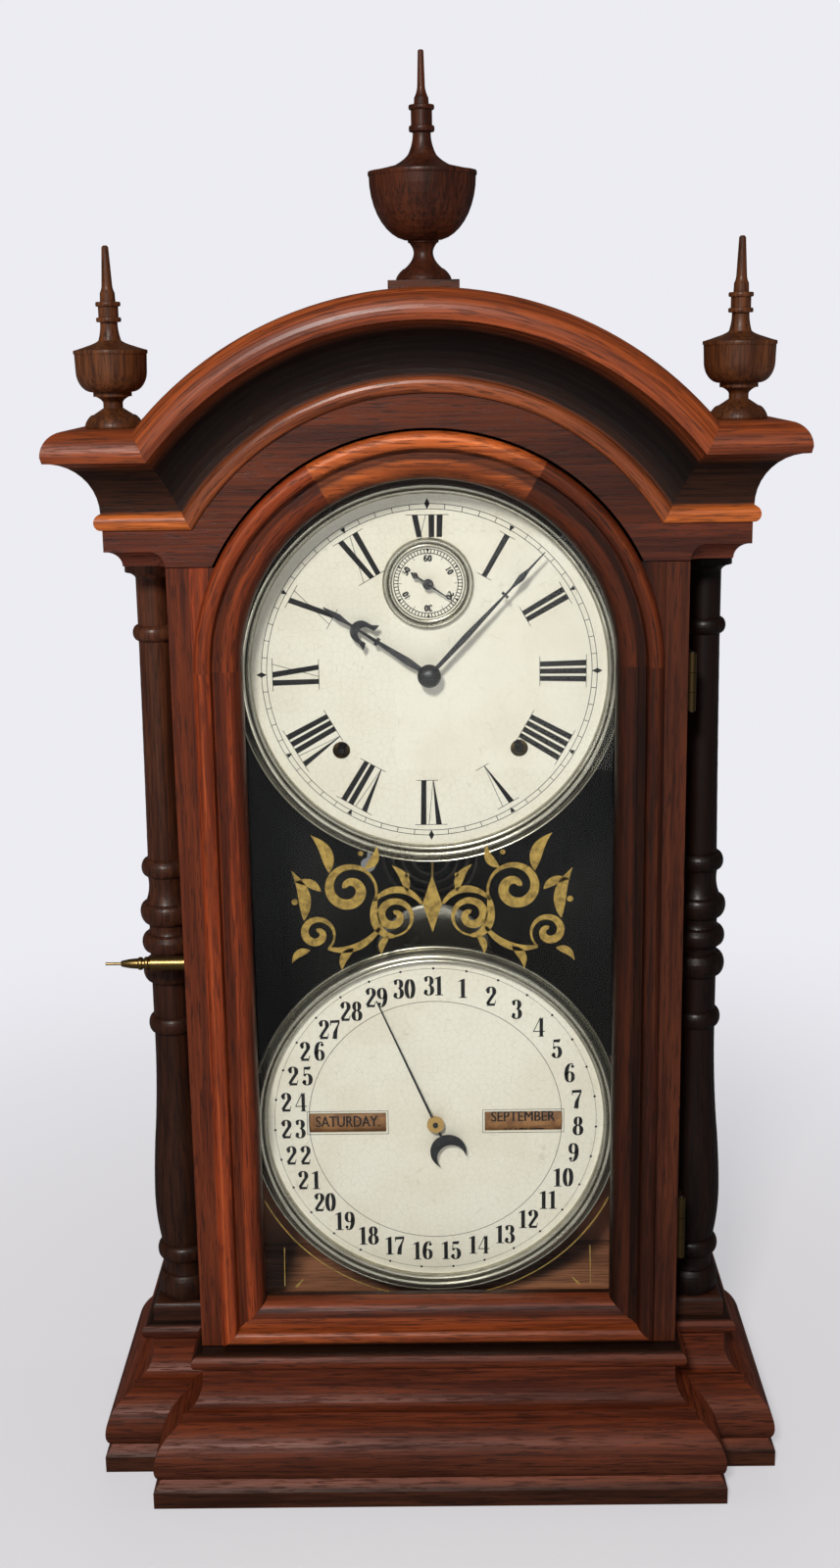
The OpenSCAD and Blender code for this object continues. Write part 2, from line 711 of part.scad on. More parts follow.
module finial_block() color("SaddleBrown") difference() {
    block([-finial_block_w / 2, finial_y - finial_block_w / 2, arch_z + arch_top_r - 3],
        [finial_block_w / 2, finial_y + finial_block_w / 2, arch_z + arch_top_r + finial_block_h]);
    translate([0, 0, arch_z]) rod_y(arch_top_r, y_bay, y_back, 720);
}

urn_stages = [
    [1, urn_foot_r, urn_foot_r, 0],
    [urn_stem_h * 0.25, urn_foot_r, urn_foot_r * 0.73, 0.6],
    [urn_stem_h * 0.41, urn_foot_r * 0.7, urn_stem_r, -1.3],
    [urn_stem_h * 0.24, urn_stem_r, urn_stem_r + 2.4, -0.5],
    [urn_stem_h * 0.05, urn_stem_r + 3, urn_stem_r + 3, 0],
    [urn_bowl_h, urn_stem_r + 1.6, urn_rim_r - 0.5, 0, 1],
    [urn_rim_h, urn_rim_r - 0.2, urn_rim_r - 0.2, 0.2],
    [urn_lid_h, urn_rim_r - 0.9, urn_rim_r * 0.51, -0.4],
    [urn_neck_h * 0.34, urn_rim_r * 0.51, urn_stem_r + 2.1, -0.9],
    [urn_neck_h * 0.66, urn_stem_r + 2.1, urn_stem_r - 0.4, -0.7],
    [3, urn_stem_r + 1.1, urn_stem_r + 1.1, 0.5],
    [urn_drum_h - 5.4, urn_stem_r + 0.4, urn_stem_r + 0.4, 0],
    [2.4, urn_stem_r + 1.1, urn_stem_r + 1.1, 0.5],
    [urn_spike_h * 0.13, urn_stem_r - 1.2, urn_stem_r - 1.4, 0],
    [urn_spike_h * 0.23, urn_stem_r - 1.4, spike_r + 0.5, -0.4],
    [urn_spike_h * 0.62, spike_r + 0.5, spike_r, 0],
    [urn_spike_h * 0.02, spike_r, spike_r - 0.5, 0]];
module finial_middle() color("Sienna") {
    translate([0, finial_y, arch_z + arch_top_r + finial_block_h]) turned(urn_stages);
}

cup_stages = [
    [cup_stem_h * 0.37, cup_foot_r, cup_foot_r * 0.75, 1.6],
    [cup_stem_h * 0.19, cup_foot_r * 0.72, urn_stem_r + 0.1, 0],
    [cup_stem_h * 0.13, urn_stem_r + 0.1, urn_stem_r + 0.1, 0],
    [cup_stem_h * 0.19, urn_stem_r + 0.1, cup_low_r - 1.2, -0.9],
    [cup_stem_h * 0.12, cup_low_r, cup_low_r, 0],
    [cup_bowl_h * 0.56, cup_low_r + 0.2, cup_rim_r - 0.8, 0, 1],
    [cup_bowl_h * 0.44, cup_rim_r - 0.8, cup_rim_r - 0.5, 0],
    [cup_rim_h, cup_rim_r - 0.1, cup_rim_r - 0.1, 0.1],
    [cup_lid_h, cup_rim_r - 0.5, cup_rim_r * 0.62, -0.2],
    [cup_neck_h * 0.23, cup_rim_r * 0.62, urn_stem_r + 0.9, -0.8],
    [cup_neck_h * 0.77, urn_stem_r + 0.9, urn_stem_r - 0.5, -0.4],
    [2.4, urn_stem_r + 1, urn_stem_r + 1, 0.5],
    [cup_drum_h - 4.8, urn_stem_r + 0.2, urn_stem_r + 0.2, 0],
    [2.4, urn_stem_r + 1, urn_stem_r + 1, 0.5],
    [cup_spike_h * 0.16, urn_stem_r - 1, urn_stem_r - 1.2, 0],
    [cup_spike_h * 0.14, urn_stem_r - 1.2, spike_r + 1.3, -0.25],
    [cup_spike_h * 0.67, spike_r + 1.3, spike_r + 0.3, 0],
    [cup_spike_h * 0.03, spike_r + 0.3, spike_r - 0.5, 0]];
module finial_side() translate([col_x + side_finial_x, finial_y, z_top]) turned(cup_stages);
module finial_left() color("Sienna") mirror(mirror_l) finial_side();
module finial_right() color("Sienna") finial_side();

// The door's moulding, given as [distance out from the sight edge, height in front of the face].
ovolo_w = mould_w - ridge_w - groove_w;
door_pts = concat(
    [[0, -glass_d], [0, -sight_d]],
    [for (t = [10 : 10 : 90]) [(ovolo_w - 2) * (1 - cos(t)), -sight_d + (sight_d - 0.6) * sin(t)]],
    [[ovolo_w, -0.6], [ovolo_w, -groove_d], [ovolo_w + groove_w, -groove_d]],
    [for (t = [36 : 12 : 180]) [ovolo_w + groove_w + ridge_w * (1 - cos(t)) / 2, ridge_h * sin(t)]]);
rebate_pts = [[mould_w, -door_t], [rebate_w, -door_t], [rebate_w, -glass_d]];

// The corner region that belongs to the bottom rail.
module rail_side() {
    along_y(y_face - ridge_h - 1, y_case)
        polygon([[-door_r, door_z], [door_r, door_z], [sight_x, sight_z], [-sight_x, sight_z]]);
}

module door_stile() difference() {
    union() {
        translate([0, 0, door_z]) linear_extrude(arch_z - door_z)
            polygon([for (p = concat(door_pts, rebate_pts)) [sight_x + p[0], y_face - p[1]]]);
        along_y(y_face, y_face + door_t) difference() {
            union() {
                translate([door_r - ridge_w / 2, door_z])
                    square([door_margin + ridge_w / 2, shoulder_z - door_z]);
                translate([sight_x, arch_z]) square([mould_w, shoulder_z - arch_z]);
            }
            translate([0, arch_z]) circle(r = door_r, $fn = 120);
        }
    }
    rail_side();
}
module door_stile_left() color("Brown") difference() {
    mirror(mirror_l) door_stile();
    translate([0, y_face + pull_back, pull_z]) rod_x(spindle_r + run_fit, -door_x - 1, -door_x + 14);
}
module door_stile_right() color("Brown") door_stile();

module door_rail() color("Brown") intersection() {
    along_x(-door_r, door_r)
        polygon([for (p = concat(door_pts, rebate_pts)) [y_face - p[1], sight_z - p[0]]]);
    rail_side();
}

// A length of the arched head between two angles from the crown.
module door_head(a0, a1) intersection() {
    translate([0, y_face, arch_z]) rotate([90, 0, 0]) rotate_extrude($fn = 120)
        polygon([for (p = concat(door_pts, rebate_pts)) [sight_x + p[0], p[1]]]);
    along_y(y_face - ridge_h - 1, y_case) translate([0, arch_z])
        polygon(concat([[0, 0]], [for (i = [0 : 3]) let (a = a0 + (a1 - a0) * i / 3)
            1.3 * door_r * [sin(a), cos(a)]]));
}
module door_head_left() color("Brown") door_head(-90, -keystone_a);
module door_head_middle() color("Chocolate") door_head(-keystone_a, keystone_a);
module door_head_right() color("Brown") door_head(keystone_a, 90);

// The door's opening, made wider all round by a.
module opening(a) {
    translate([-sight_x - a, sight_z - a]) square([2 * (sight_x + a), arch_z - sight_z + a]);
    translate([0, arch_z]) circle(r = sight_x + a, $fn = 120);
}
module door_glass() color("LightBlue", 0.4) {
    along_y(y_glass, y_glass + glass_t) opening(rebate_w - glass_gap);
}
module glass_beading() color("Brown") along_y(y_glass + glass_t, y_glass + glass_t + 4) difference() {
    opening(rebate_w);
    opening(0.6);
}

// Knuckles: the middle third belongs to the case leaf, the outer thirds to the door leaf.
module knuckle(l, z, k) translate([hinge_x, hinge_y, z + l * (k - 1.5) / 3 + 0.15]) {
    cylinder(r = knuckle_r, h = l / 3 - 0.3, $fn = 32);
}
module hinge_bore(l, z, r) translate([hinge_x, hinge_y, z - l]) cylinder(r = r, h = 2 * l, $fn = 32);
module door_leaf(l, z) difference() {
    union() {
        for (k = [0, 2]) {
            knuckle(l, z, k);
            block([door_x, hinge_y, z + l * (k - 1.5) / 3 + 0.15],
                [door_x + leaf_t, y_face + door_t - 4, z + l * (k - 0.5) / 3 - 0.15]);
        }
        block([door_x, hinge_y + knuckle_r + 0.6, z - l / 2 + 0.15],
            [door_x + leaf_t, y_face + door_t - 4, z + l / 2 - 0.15]);
    }
    hinge_bore(l, z, hinge_pin_r + run_fit);
}
module hinge_door_leaves() color("Gold") {
    door_leaf(hinge_up_l, hinge_up_z);
    door_leaf(hinge_low_l, hinge_low_z);
}
module case_leaf(l, z) difference() {
    union() {
        knuckle(l, z, 1);
        block([case_x, hinge_y, z - l / 6 + 0.15], [case_x + leaf_t, y_case, z + l / 6 - 0.15]);
        block([case_x, hinge_y + knuckle_r + 0.6, z - l / 2],
            [case_x + leaf_t, y_case + leaf_w, z + l / 2]);
    }
    hinge_bore(l, z, hinge_pin_r);
}
module hinge_case_leaves() color("Gold") {
    case_leaf(hinge_up_l, hinge_up_z);
    case_leaf(hinge_low_l, hinge_low_z);
}
module pin(l, z) translate([hinge_x, hinge_y, z - l / 2 - 0.5]) {
    cylinder(r = hinge_pin_r, h = l + 1, $fn = 32);
}
module hinge_pins() color("Goldenrod") {
    pin(hinge_up_l, hinge_up_z);
    pin(hinge_low_l, hinge_low_z);
}

pull_stages = [
    [13, spindle_r, spindle_r, 0],
    [0.4, spindle_r, spindle_r, 0],
    [pull_l, pull_r, pull_r, 0],
    [1.2, pull_r - 1, pull_r - 1, 0],
    [pull_nose_l * 0.15, pull_r - 0.6, pull_r - 0.6, 0.5],
    [1, pull_r - 1.2, pull_r - 1.2, 0],
    [pull_nose_l * 0.15, pull_r - 0.8, pull_r - 0.8, 0.5],
    [pull_nose_l * 0.57, pull_r - 1, pull_r * 0.4, 0.3],
    [pull_pin_l, 0.8, 0.8, 0]];
module door_pull() color("Gold") {
    translate([13 - door_x, y_face + pull_back, pull_z]) rotate([0, -90, 0]) turned(pull_stages);
}

// Places a piece on a dial's axis, turned to a clock angle.
module at_dial(z, a = 0) translate([0, 0, z]) rotate([0, a, 0]) children();

module time_dial() color("Ivory") at_dial(z_time) difference() {
    rod_y(dial_r, y_dial, y_dial + dial_t, 120);
    rod_y(centre_r + run_fit + pipe_w + pass_gap, y_dial - 1, y_dial + 9);
    translate([0, 0, seconds_rise]) rod_y(pivot_r + pass_gap, y_dial - 1, y_dial + 9);
    for (s = [-1, 1]) translate([s * wind_x, 0, -wind_drop]) rod_y(key_hole_r, y_dial - 1, y_dial + 9);
}

// A bezel: a nickel ring spun with a roll inside, a rounded band and a thin lip, given as [radius, height].
bezel_in = bezel_r - bezel_w;
band_in = bezel_in + bezel_roll;
band_w = bezel_w - bezel_roll - bezel_lip;
bezel_pts = concat(
    [[bezel_r - 2.6, 0], [bezel_r - 2.6, -dial_t], [bezel_r, -dial_t]],
    [for (t = [0 : 30 : 180]) [bezel_r - bezel_lip * (1 - cos(t)) / 2, 1 + bezel_lip * 0.8 * sin(t)]],
    [for (t = [10 : 10 : 120]) [band_in + band_w * (1 - t / 120), 1 + (bezel_h - 1) * sin(t)]],
    [for (t = [20 : 20 : 180]) [band_in - bezel_roll * (1 - cos(t)) / 2, 2 + bezel_roll * 0.7 * sin(t)]],
    [[bezel_in, 0]]);
module bezel(z) at_dial(z) translate([0, y_dial, 0]) rotate([90, 0, 0]) {
    rotate_extrude($fn = 120) polygon(bezel_pts);
}
module time_bezel() color("Silver") bezel(z_time);
module calendar_bezel() color("Silver") bezel(z_cal);

seconds_pts = concat([[seconds_ring_r, 0]],
    [for (t = [0 : 20 : 180]) [seconds_ring_r - seconds_ring_w * 0.3 * (1 - cos(t)),
        0.6 + (seconds_ring_h - 0.6) * sin(t)]],
    [for (t = [20 : 20 : 180]) [seconds_ring_r - seconds_ring_w * (0.8 - 0.2 * cos(t)), 0.6 + 1.2 * sin(t)]],
    [[seconds_ring_r - seconds_ring_w, 0]]);
module seconds_ring() color("Silver") at_dial(z_sec) translate([0, y_dial, 0]) rotate([90, 0, 0]) {
    rotate_extrude($fn = 80) polygon(seconds_pts);
}

// A flat hand from its half widths, given as [distance from the centre, half width].
module blade(pts) {
    n = len(pts) - 1;
    polygon(concat([for (p = pts) [p[1], p[0]]], [for (i = [n : -1 : 0]) [-pts[i][1], pts[i][0]]]));
}

hour_pts = [[0, 1], [5, 1.3], [hour_l * 0.2, 2.1], [hour_l * 0.49, 1], [hour_l * 0.66, 0.7],
    [hour_l * 0.77, 0.8], [hour_l * 0.86, 1.8], [hour_l, 0.3]];
module hour_horns() difference() {
    union() {
        translate([0, hour_l * 0.645]) circle(r = 6.2, $fn = 40);
        polygon([[-6.2, hour_l * 0.65], [6.2, hour_l * 0.65], [6.4, hour_l * 0.6], [8.4, hour_l * 0.55],
            [6, hour_l * 0.552], [0, hour_l * 0.59], [-6, hour_l * 0.552], [-8.4, hour_l * 0.55],
            [-6.4, hour_l * 0.6]]);
    }
    translate([0, hour_l * 0.605]) circle(r = 4.1, $fn = 40);
    translate([-4.1, hour_l * 0.5]) square([8.2, hour_l * 0.105]);
}
module hour_hand() color("Black") at_dial(z_time, hour_a) difference() {
    union() {
        along_y(y_hour - hand_t, y_hour) union() {
            blade(hour_pts);
            translate([-2.3, hour_l * 0.48]) square([4.6, 2]);
            hour_horns();
            circle(r = centre_r + run_fit + pipe_w + 1, $fn = 40);
        }
        rod_y(centre_r + run_fit + pipe_w, y_hour - 0.5, y_p1 - 3);
        rod_y(hour_wheel_r, y_p1 - 4.5, y_p1 - 3);
    }
    rod_y(centre_r + run_fit, y_hour - 9, y_p1);
}

minute_pts = [[0, 1], [minute_l * 0.06, 1.1], [minute_l * 0.32, 1.7], [minute_l * 0.64, 0.6],
    [minute_l * 0.72, 0.6], [minute_l * 0.8, 1.9], [minute_l * 0.86, 0.7], [minute_l, 0.25]];
module minute_hand() color("Black") at_dial(z_time, minute_a) difference() {
    along_y(y_min - hand_t, y_min) union() {
        blade(minute_pts);
        translate([-2.2, minute_l * 0.65]) square([4.4, 1.6]);
        circle(r = boss_r - 2, $fn = 40);
    }
    rod_y(centre_r, y_min - 9, y_min + 9);
}

module centre_arbor() color("DimGray") at_dial(z_time) union() {
    rod_y(centre_r, y_min - hand_t - 1, y_p2 + plate_t + 1);
    rod_y(17, y_p1 + plate_t + 8, y_p1 + plate_t + 9.5, 80);
    intersection() {
        translate([0, y_min - hand_t + 2.4, 0]) sphere(r = boss_r + 0.6);
        rod_y(boss_r, y_min - hand_t - 9, y_min - hand_t);
    }
}

module seconds_hand() color("Black") at_dial(z_sec, second_a) difference() {
    along_y(y_dial - 5.2, y_dial - 4.6) union() {
        blade([[-seconds_tail, 0.15], [-seconds_tail * 0.74, 1.9], [-seconds_tail * 0.56, 0.5], [0, 0.6],
            [seconds_l, 0.2]]);
        circle(r = seconds_eye_r, $fn = 32);
    }
    rod_y(pivot_r, y_dial - 9, y_dial);
}

module calendar_dial() color("Ivory") at_dial(z_cal) difference() {
    rod_y(dial_r, y_dial, y_dial + dial_t, 120);
    rod_y(cal_r + pass_gap, y_dial - 1, y_dial + 9);
    for (s = [-1, 1]) translate([s * roller_x, 0, z_win - z_cal])
        block([-window_w / 2, y_dial - 1, -window_h / 2], [window_w / 2, y_dial + 9, window_h / 2]);
}

// The date hand carries its arbor and the ratchet wheel of one tooth for each day.
module date_hand() color("DarkOliveGreen") at_dial(z_cal, date_a) union() {
    along_y(y_dial - 6, y_dial - 5.2) union() {
        blade([[-crescent_back + crescent_r - 1, 0.7], [0, 0.7], [date_l, 0.35]]);
        difference() {
            translate([0, -crescent_back]) circle(r = crescent_r, $fn = 64);
            translate([0, -crescent_back - 4.6]) circle(r = crescent_r - 2.2, $fn = 64);
        }
    }
    rod_y(date_hub_r, y_dial - 6.6, y_dial - 4.6);
    rod_y(cal_r, y_dial - 7.6, y_cal_plate + cal_t + 1);
    along_y(y_dial + dial_t + 4, y_dial + dial_t + 5.5) polygon([for (i = [0 : date_n - 1], k = [0, 1])
        (date_wheel_r - 2 * k) * [sin(360 * (i + k * 0.12) / date_n), cos(360 * (i + k * 0.12) / date_n)]]);
}

module roller(r, y) translate([roller_x, y, z_win]) union() {
    rod_x(r, -roller_l / 2, roller_l / 2, 64);
    rod_x(cal_r, -roller_l / 2 - 4, roller_l / 2 + 4, 32);
}
module day_roller() color("Sienna") translate([-2 * roller_x, 0, 0]) roller(day_r, day_y);
module month_roller() color("Sienna") roller(month_r, month_y);

// The calendar's iron frame: a back plate with brackets for the rollers and posts to the dial.
module bracket(x, y) {
    block([x - cal_t / 2, y - 5, z_win - 5], [x + cal_t / 2, y_cal_plate + 0.5, z_win + 5]);
}
module calendar_frame() color("DimGray") difference() {
    half = roller_x + roller_l / 2 + 6;
    union() {
        block([-half, y_cal_plate, z_cal - cal_plate_h / 2],
            [half, y_cal_plate + cal_t, z_cal + cal_plate_h / 2]);
        for (k = [-1, 1]) {
            bracket(-roller_x + k * (roller_l / 2 + 2.5), day_y);
            bracket(roller_x + k * (roller_l / 2 + 2.5), month_y);
        }
        for (sx = [-1, 1], sz = [-1, 1])
            translate([sx * (half - 5), 0, z_cal + sz * (cal_plate_h / 2 - 5)])
                rod_y(2.4, y_dial + dial_t, y_cal_plate + 0.5, 32);
    }
    translate([0, day_y, z_win]) rod_x(cal_r + run_fit, -half - 1, 0, 32);
    translate([0, month_y, z_win]) rod_x(cal_r + run_fit, 0, half + 1, 32);
    translate([0, 0, z_cal]) rod_y(cal_r + run_fit, y_cal_plate - 9, y_cal_plate + 9, 32);
}

module dial_cleats() color("SaddleBrown") {
    inner = min(bezel_r - cleat_lap, case_x - side_t - cleat_l);
    for (z = [z_time, z_cal], s = [0, 1]) mirror([s, 0, 0])
        block([inner, y_dial + dial_t, z - cleat_h / 2],
            [case_x - side_t, y_dial + dial_t + cleat_t, z + cleat_h / 2]);
}

// Holes through both plates for the arbors.
module plate_holes(y0, y1) {
    at_dial(z_time) rod_y(centre_r + run_fit, y0, y1, 32);
    at_dial(z_sec) rod_y(pivot_r + run_fit, y0, y1, 32);
    at_dial(z_pivot) rod_y(pivot_r + run_fit, y0, y1, 32);
    for (s = [-1, 1]) translate([s * wind_x, 0, z_wind]) rod_y(wind_r + run_fit, y0, y1, 32);
    translate([-hammer_x, 0, hammer_z]) rod_y(pivot_r + run_fit, y0, y1, 32);
}
hammer_x = plate_w / 2 - 36;
hammer_z = z_time - plate_drop + 7;
z_plate = z_time - plate_drop;

module front_plate() color("DarkGoldenrod") difference() {
    block([-plate_w / 2, y_p1, z_plate], [plate_w / 2, y_p1 + plate_t, z_plate + plate_h]);
    plate_holes(y_p1 - 1, y_p1 + plate_t + 1);
}

// The back plate with its four pillars and the cock that carries the pendulum's stud.
module back_plate() color("DarkGoldenrod") difference() {
    union() {
        block([-plate_w / 2, y_p2, z_plate], [plate_w / 2, y_p2 + plate_t, z_plate + plate_h]);
        for (sx = [-1, 1], p = [[18, 7], [plate_w / 2 - 7, plate_h - 7]])
            translate([sx * p[0], 0, z_plate + p[1]]) rod_y(3, y_p1 + plate_t, y_p2 + 0.5, 32);
        for (sx = [-1, 1]) block([sx * 14 - 2, y_p2 + 1, z_pivot - 4], [sx * 14 + 2, y_pend + 6, z_pivot + 4]);
        block([-16, y_pend + 4, z_pivot - 4], [16, y_pend + 6, z_pivot + 4]);
        at_dial(z_pivot) rod_y(pivot_r, y_pend - 3, y_pend + 5, 32);
    }
    plate_holes(y_p2 - 1, y_p2 + plate_t + 0.5);
}

module movement_rails() color("SaddleBrown") {
    for (s = [0, 1]) mirror([s, 0, 0])
        block([plate_w / 2 - 8, y_p2 + plate_t, z_plate + 3],
            [plate_w / 2 + 6, y_inner, z_plate + plate_h - 3]);
}

module escape_wheel() color("DarkGoldenrod") at_dial(z_sec) union() {
    rod_y(pivot_r, y_dial - 5.6, y_p2 + plate_t + 0.4, 32);
    along_y(y_p2 - 8, y_p2 - 6.6) polygon([for (i = [0 : escape_n - 1], k = [0, 1])
        (escape_r - 2.4 * k) * [sin(360 * (i + k * 0.25) / escape_n), cos(360 * (i + k * 0.25) / escape_n)]]);
}

// The verge: pallets over the escape wheel, its arbor, and the crutch that drives the pendulum.
module verge() color("SteelBlue") at_dial(z_pivot) union() {
    rod_y(pivot_r, y_p1 - 0.4, y_p2 + plate_t + 4, 32);
    along_y(y_p2 - 8, y_p2 - 6.6) difference() {
        union() {
            circle(r = 4, $fn = 32);
            for (s = [-1, 1]) polygon([[0, 2.5], [s * 14.5, -7.6], [s * 14.5, -11], [s * 13, -11], [0, -3]]);
        }
        translate([0, -pivot_rise]) circle(r = escape_r + pass_gap, $fn = 64);
    }
    along_y(y_p2 + plate_t + 2, y_p2 + plate_t + 3.5) blade([[-crutch_l, 0.9], [0, 1.6], [2, 1.2]]);
    for (s = [-1, 1]) translate([s * (rod_r + pass_gap + 0.8), 0, 2 - crutch_l])
        rod_y(0.8, y_p2 + plate_t + 2.2, y_pend + 3, 20);
    along_y(y_p2 + plate_t + 2, y_p2 + plate_t + 3.5) translate([-rod_r - pass_gap - 1.8, -crutch_l])
        square([2 * (rod_r + pass_gap + 1.8), 4]);
}

module pendulum_rod() color("DarkGoldenrod") at_dial(z_pivot) difference() {
    union() {
        rod_y(pivot_r + 1.6, y_pend - 1.5, y_pend + 1.5, 32);
        translate([0, y_pend, -pendulum_l - bob_r - 12])
            cylinder(r = rod_r, h = pendulum_l + bob_r + 12 - pivot_r - 0.8, $fn = 24);
        translate([0, y_pend, -pendulum_l - bob_r - 7]) cylinder(r = 5, h = 4, $fn = 32);
    }
    rod_y(pivot_r + run_fit, y_pend - 9, y_pend + 9, 32);
}

// The bob: a lens-shaped disc, bored for the rod.
bob_pts = [for (t = [0 : 10 : 90]) [bob_r * cos(t), 1 + (bob_t / 2 - 1) * sin(t)]];
module pendulum_bob() color("Silver") translate([0, y_pend, z_bob]) difference() {
    rotate([90, 0, 0]) rotate_extrude($fn = 96)
        polygon(concat(bob_pts, [for (i = [len(bob_pts) - 1 : -1 : 0]) [bob_pts[i][0], -bob_pts[i][1]]]));
    translate([0, 0, -bob_r - 1]) cylinder(r = rod_r, h = 2 * bob_r + 2, $fn = 24);
}

// A winding arbor with its square end, great wheel and mainspring drum.
module winding() translate([wind_x, 0, z_wind]) union() {
    rod_y(wind_r, y_dial + 4, y_p2 + plate_t + 0.5, 32);
    block([-wind_r * 0.68, y_dial - 2, -wind_r * 0.68], [wind_r * 0.68, y_dial + 5, wind_r * 0.68]);
    rod_y(spring_r, y_p1 + plate_t + 11, y_p2 - 5, 64);
    rod_y(spring_r + 2, y_p1 + plate_t + 4, y_p1 + plate_t + 6, 64);
}
module winding_left() color("Goldenrod") mirror(mirror_l) winding();
module winding_right() color("Goldenrod") winding();

// The gong: a flat ribbon coiled outward from an iron hub on the back board.
gong_pitch = (gong_r - gong_w / 2 - gong_in_r) / gong_turns;
gong_y = y_inner - 12;
function spiral(o) = [for (i = [0 : 24 * gong_turns]) let (a = 15 * i, r = gong_in_r + o + gong_pitch * i / 24)
    r * [sin(a), cos(a)]];
echo(gong_gap = gong_pitch - gong_w);
module gong() color("SlateGray") translate([0, 0, gong_z]) union() {
    along_y(gong_y - gong_d, gong_y) union() {
        polygon(concat(spiral(gong_w / 2), [for (i = [24 * gong_turns : -1 : 0]) spiral(-gong_w / 2)[i]]));
        translate([-1.5, 0]) square([3, gong_in_r]);
        circle(r = 5, $fn = 32);
    }
    rod_y(5, gong_y - 1, y_inner, 32);
}

// The hammer: an arbor, a wire arm and a round head resting just clear of the gong's rim.
module hammer() color("DimGray") translate([-hammer_x, 0, hammer_z]) {
    drop = hammer_z - gong_z;
    head_x0 = -gong_r - hammer_r - 1.5 + hammer_x;
    rod_y(pivot_r, y_p1 - 0.4, y_p2 + plate_t + 8, 32);
    along_y(y_p2 + plate_t + 5, y_p2 + plate_t + 7) polygon([[-1.6, 1.6], [1.6, 1.6],
        [head_x0 + 1.2, -drop], [head_x0 - 1.2, -drop]]);
    translate([head_x0, 0, -drop]) rod_y(hammer_r, y_p2 + plate_t + 5, gong_y, 32);
}

base_plinth();
base_bay_moulding();
base_left_moulding();
base_right_moulding();
base_cap();
column_blocks();
column_left();
column_right();
case_side_left();
case_side_right();
case_back();
head_left();
head_right();
strip_left();
strip_right();
frieze();
cornice_left();
cornice_arch();
cornice_right();
finial_block();
finial_middle();
finial_left();
finial_right();
door_stile_left();
door_stile_right();
door_rail();
door_head_left();
door_head_middle();
door_head_right();
door_glass();
glass_beading();
hinge_door_leaves();
hinge_case_leaves();
hinge_pins();
door_pull();
time_dial();
time_bezel();
seconds_ring();
hour_hand();
minute_hand();
centre_arbor();
seconds_hand();
calendar_dial();
calendar_bezel();
date_hand();
day_roller();
month_roller();
calendar_frame();
dial_cleats();
front_plate();
back_plate();
movement_rails();
escape_wheel();
verge();
pendulum_rod();
pendulum_bob();
winding_left();
winding_right();
gong();
hammer();
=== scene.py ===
import math

import bmesh
import bpy
from mathutils import Matrix, Vector


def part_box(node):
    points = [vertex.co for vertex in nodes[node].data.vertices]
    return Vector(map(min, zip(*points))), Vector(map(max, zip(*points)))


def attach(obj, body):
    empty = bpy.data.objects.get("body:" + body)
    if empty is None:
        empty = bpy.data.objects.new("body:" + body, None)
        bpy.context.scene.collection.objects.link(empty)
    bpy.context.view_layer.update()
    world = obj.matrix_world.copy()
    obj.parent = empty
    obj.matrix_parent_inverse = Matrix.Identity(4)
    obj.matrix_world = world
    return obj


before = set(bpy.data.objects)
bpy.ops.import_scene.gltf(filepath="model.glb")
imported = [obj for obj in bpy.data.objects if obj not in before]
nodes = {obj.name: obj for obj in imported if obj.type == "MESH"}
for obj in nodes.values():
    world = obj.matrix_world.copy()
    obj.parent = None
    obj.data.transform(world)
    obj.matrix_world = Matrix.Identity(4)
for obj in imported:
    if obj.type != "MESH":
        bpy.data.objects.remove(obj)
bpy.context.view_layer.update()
scene = bpy.context.scene
scene.view_settings.view_transform = "Standard"

# The photographer's camera, a metre from the door and a little above the dials' middle.
# Its place, lens and tilt come from the dials' rings and the door's straight edges.
mm = 0.001
eye = Vector((3.80, -1021.72, 660.87)) * mm
pitch, yaw, roll = (math.radians(a) for a in (13.523, 0.566, -0.875))
ahead = Vector((-math.sin(yaw) * math.cos(pitch), math.cos(yaw) * math.cos(pitch), -math.sin(pitch)))
across = Vector((math.cos(yaw), math.sin(yaw), 0))
upright = across.cross(ahead)
cam_x = across * math.cos(roll) + upright * math.sin(roll)
cam_y = upright * math.cos(roll) - across * math.sin(roll)
camera = bpy.data.objects.new("camera", bpy.data.cameras.new("camera"))
camera.data.lens = 41.73
camera.data.sensor_width = 36
camera.matrix_world = Matrix.Translation(eye) @ Matrix((cam_x, cam_y, -ahead)).transposed().to_4x4()
scene.collection.objects.link(camera)
scene.camera = camera

# A pale studio: a white floor that fades into the pale room, which is brighter above and behind the
# clock than in front of it. One lamp stands above the camera, weak ones at the sides, behind and low.
WALL = (236, 236, 242)
FLOOR = (226, 222, 222)
FLOOR_IN_POLISH = (84, 80, 78)
ROOM_IN_POLISH, HAZE_IN_POLISH = 0.25, 0.12
FADE_START, FADE_END = 0.15, 1.1
CLOCK_MIDDLE, CLOCK_FOOT = (0, 0, 0.4), (0, 0, 0.05)
LAMP_COLOUR = (1.0, 0.975, 0.94)


def tint(r, g, b):
    """A colour as it looks on a screen, 0 to 255, in the shader's linear numbers."""
    return tuple(((c / 255 + 0.055) / 1.055) ** 2.4 if c > 10 else c / 3294.6 for c in (r, g, b)) + (1,)


def add(tree, kind, inputs=None, **props):
    """A node with its properties set and its inputs given as values or linked from sockets."""
    node = tree.nodes.new(kind)
    for key, value in props.items():
        setattr(node, key, value)
    for key, value in (inputs or {}).items():
        if isinstance(value, bpy.types.NodeSocket):
            tree.links.new(value, node.inputs[key])
        else:
            node.inputs[key].default_value = value
    return node


def sums(tree, operation, a, b=0.0):
    """One Math node and its result."""
    return add(tree, "ShaderNodeMath", {0: a, 1: b}, operation=operation).outputs[0]


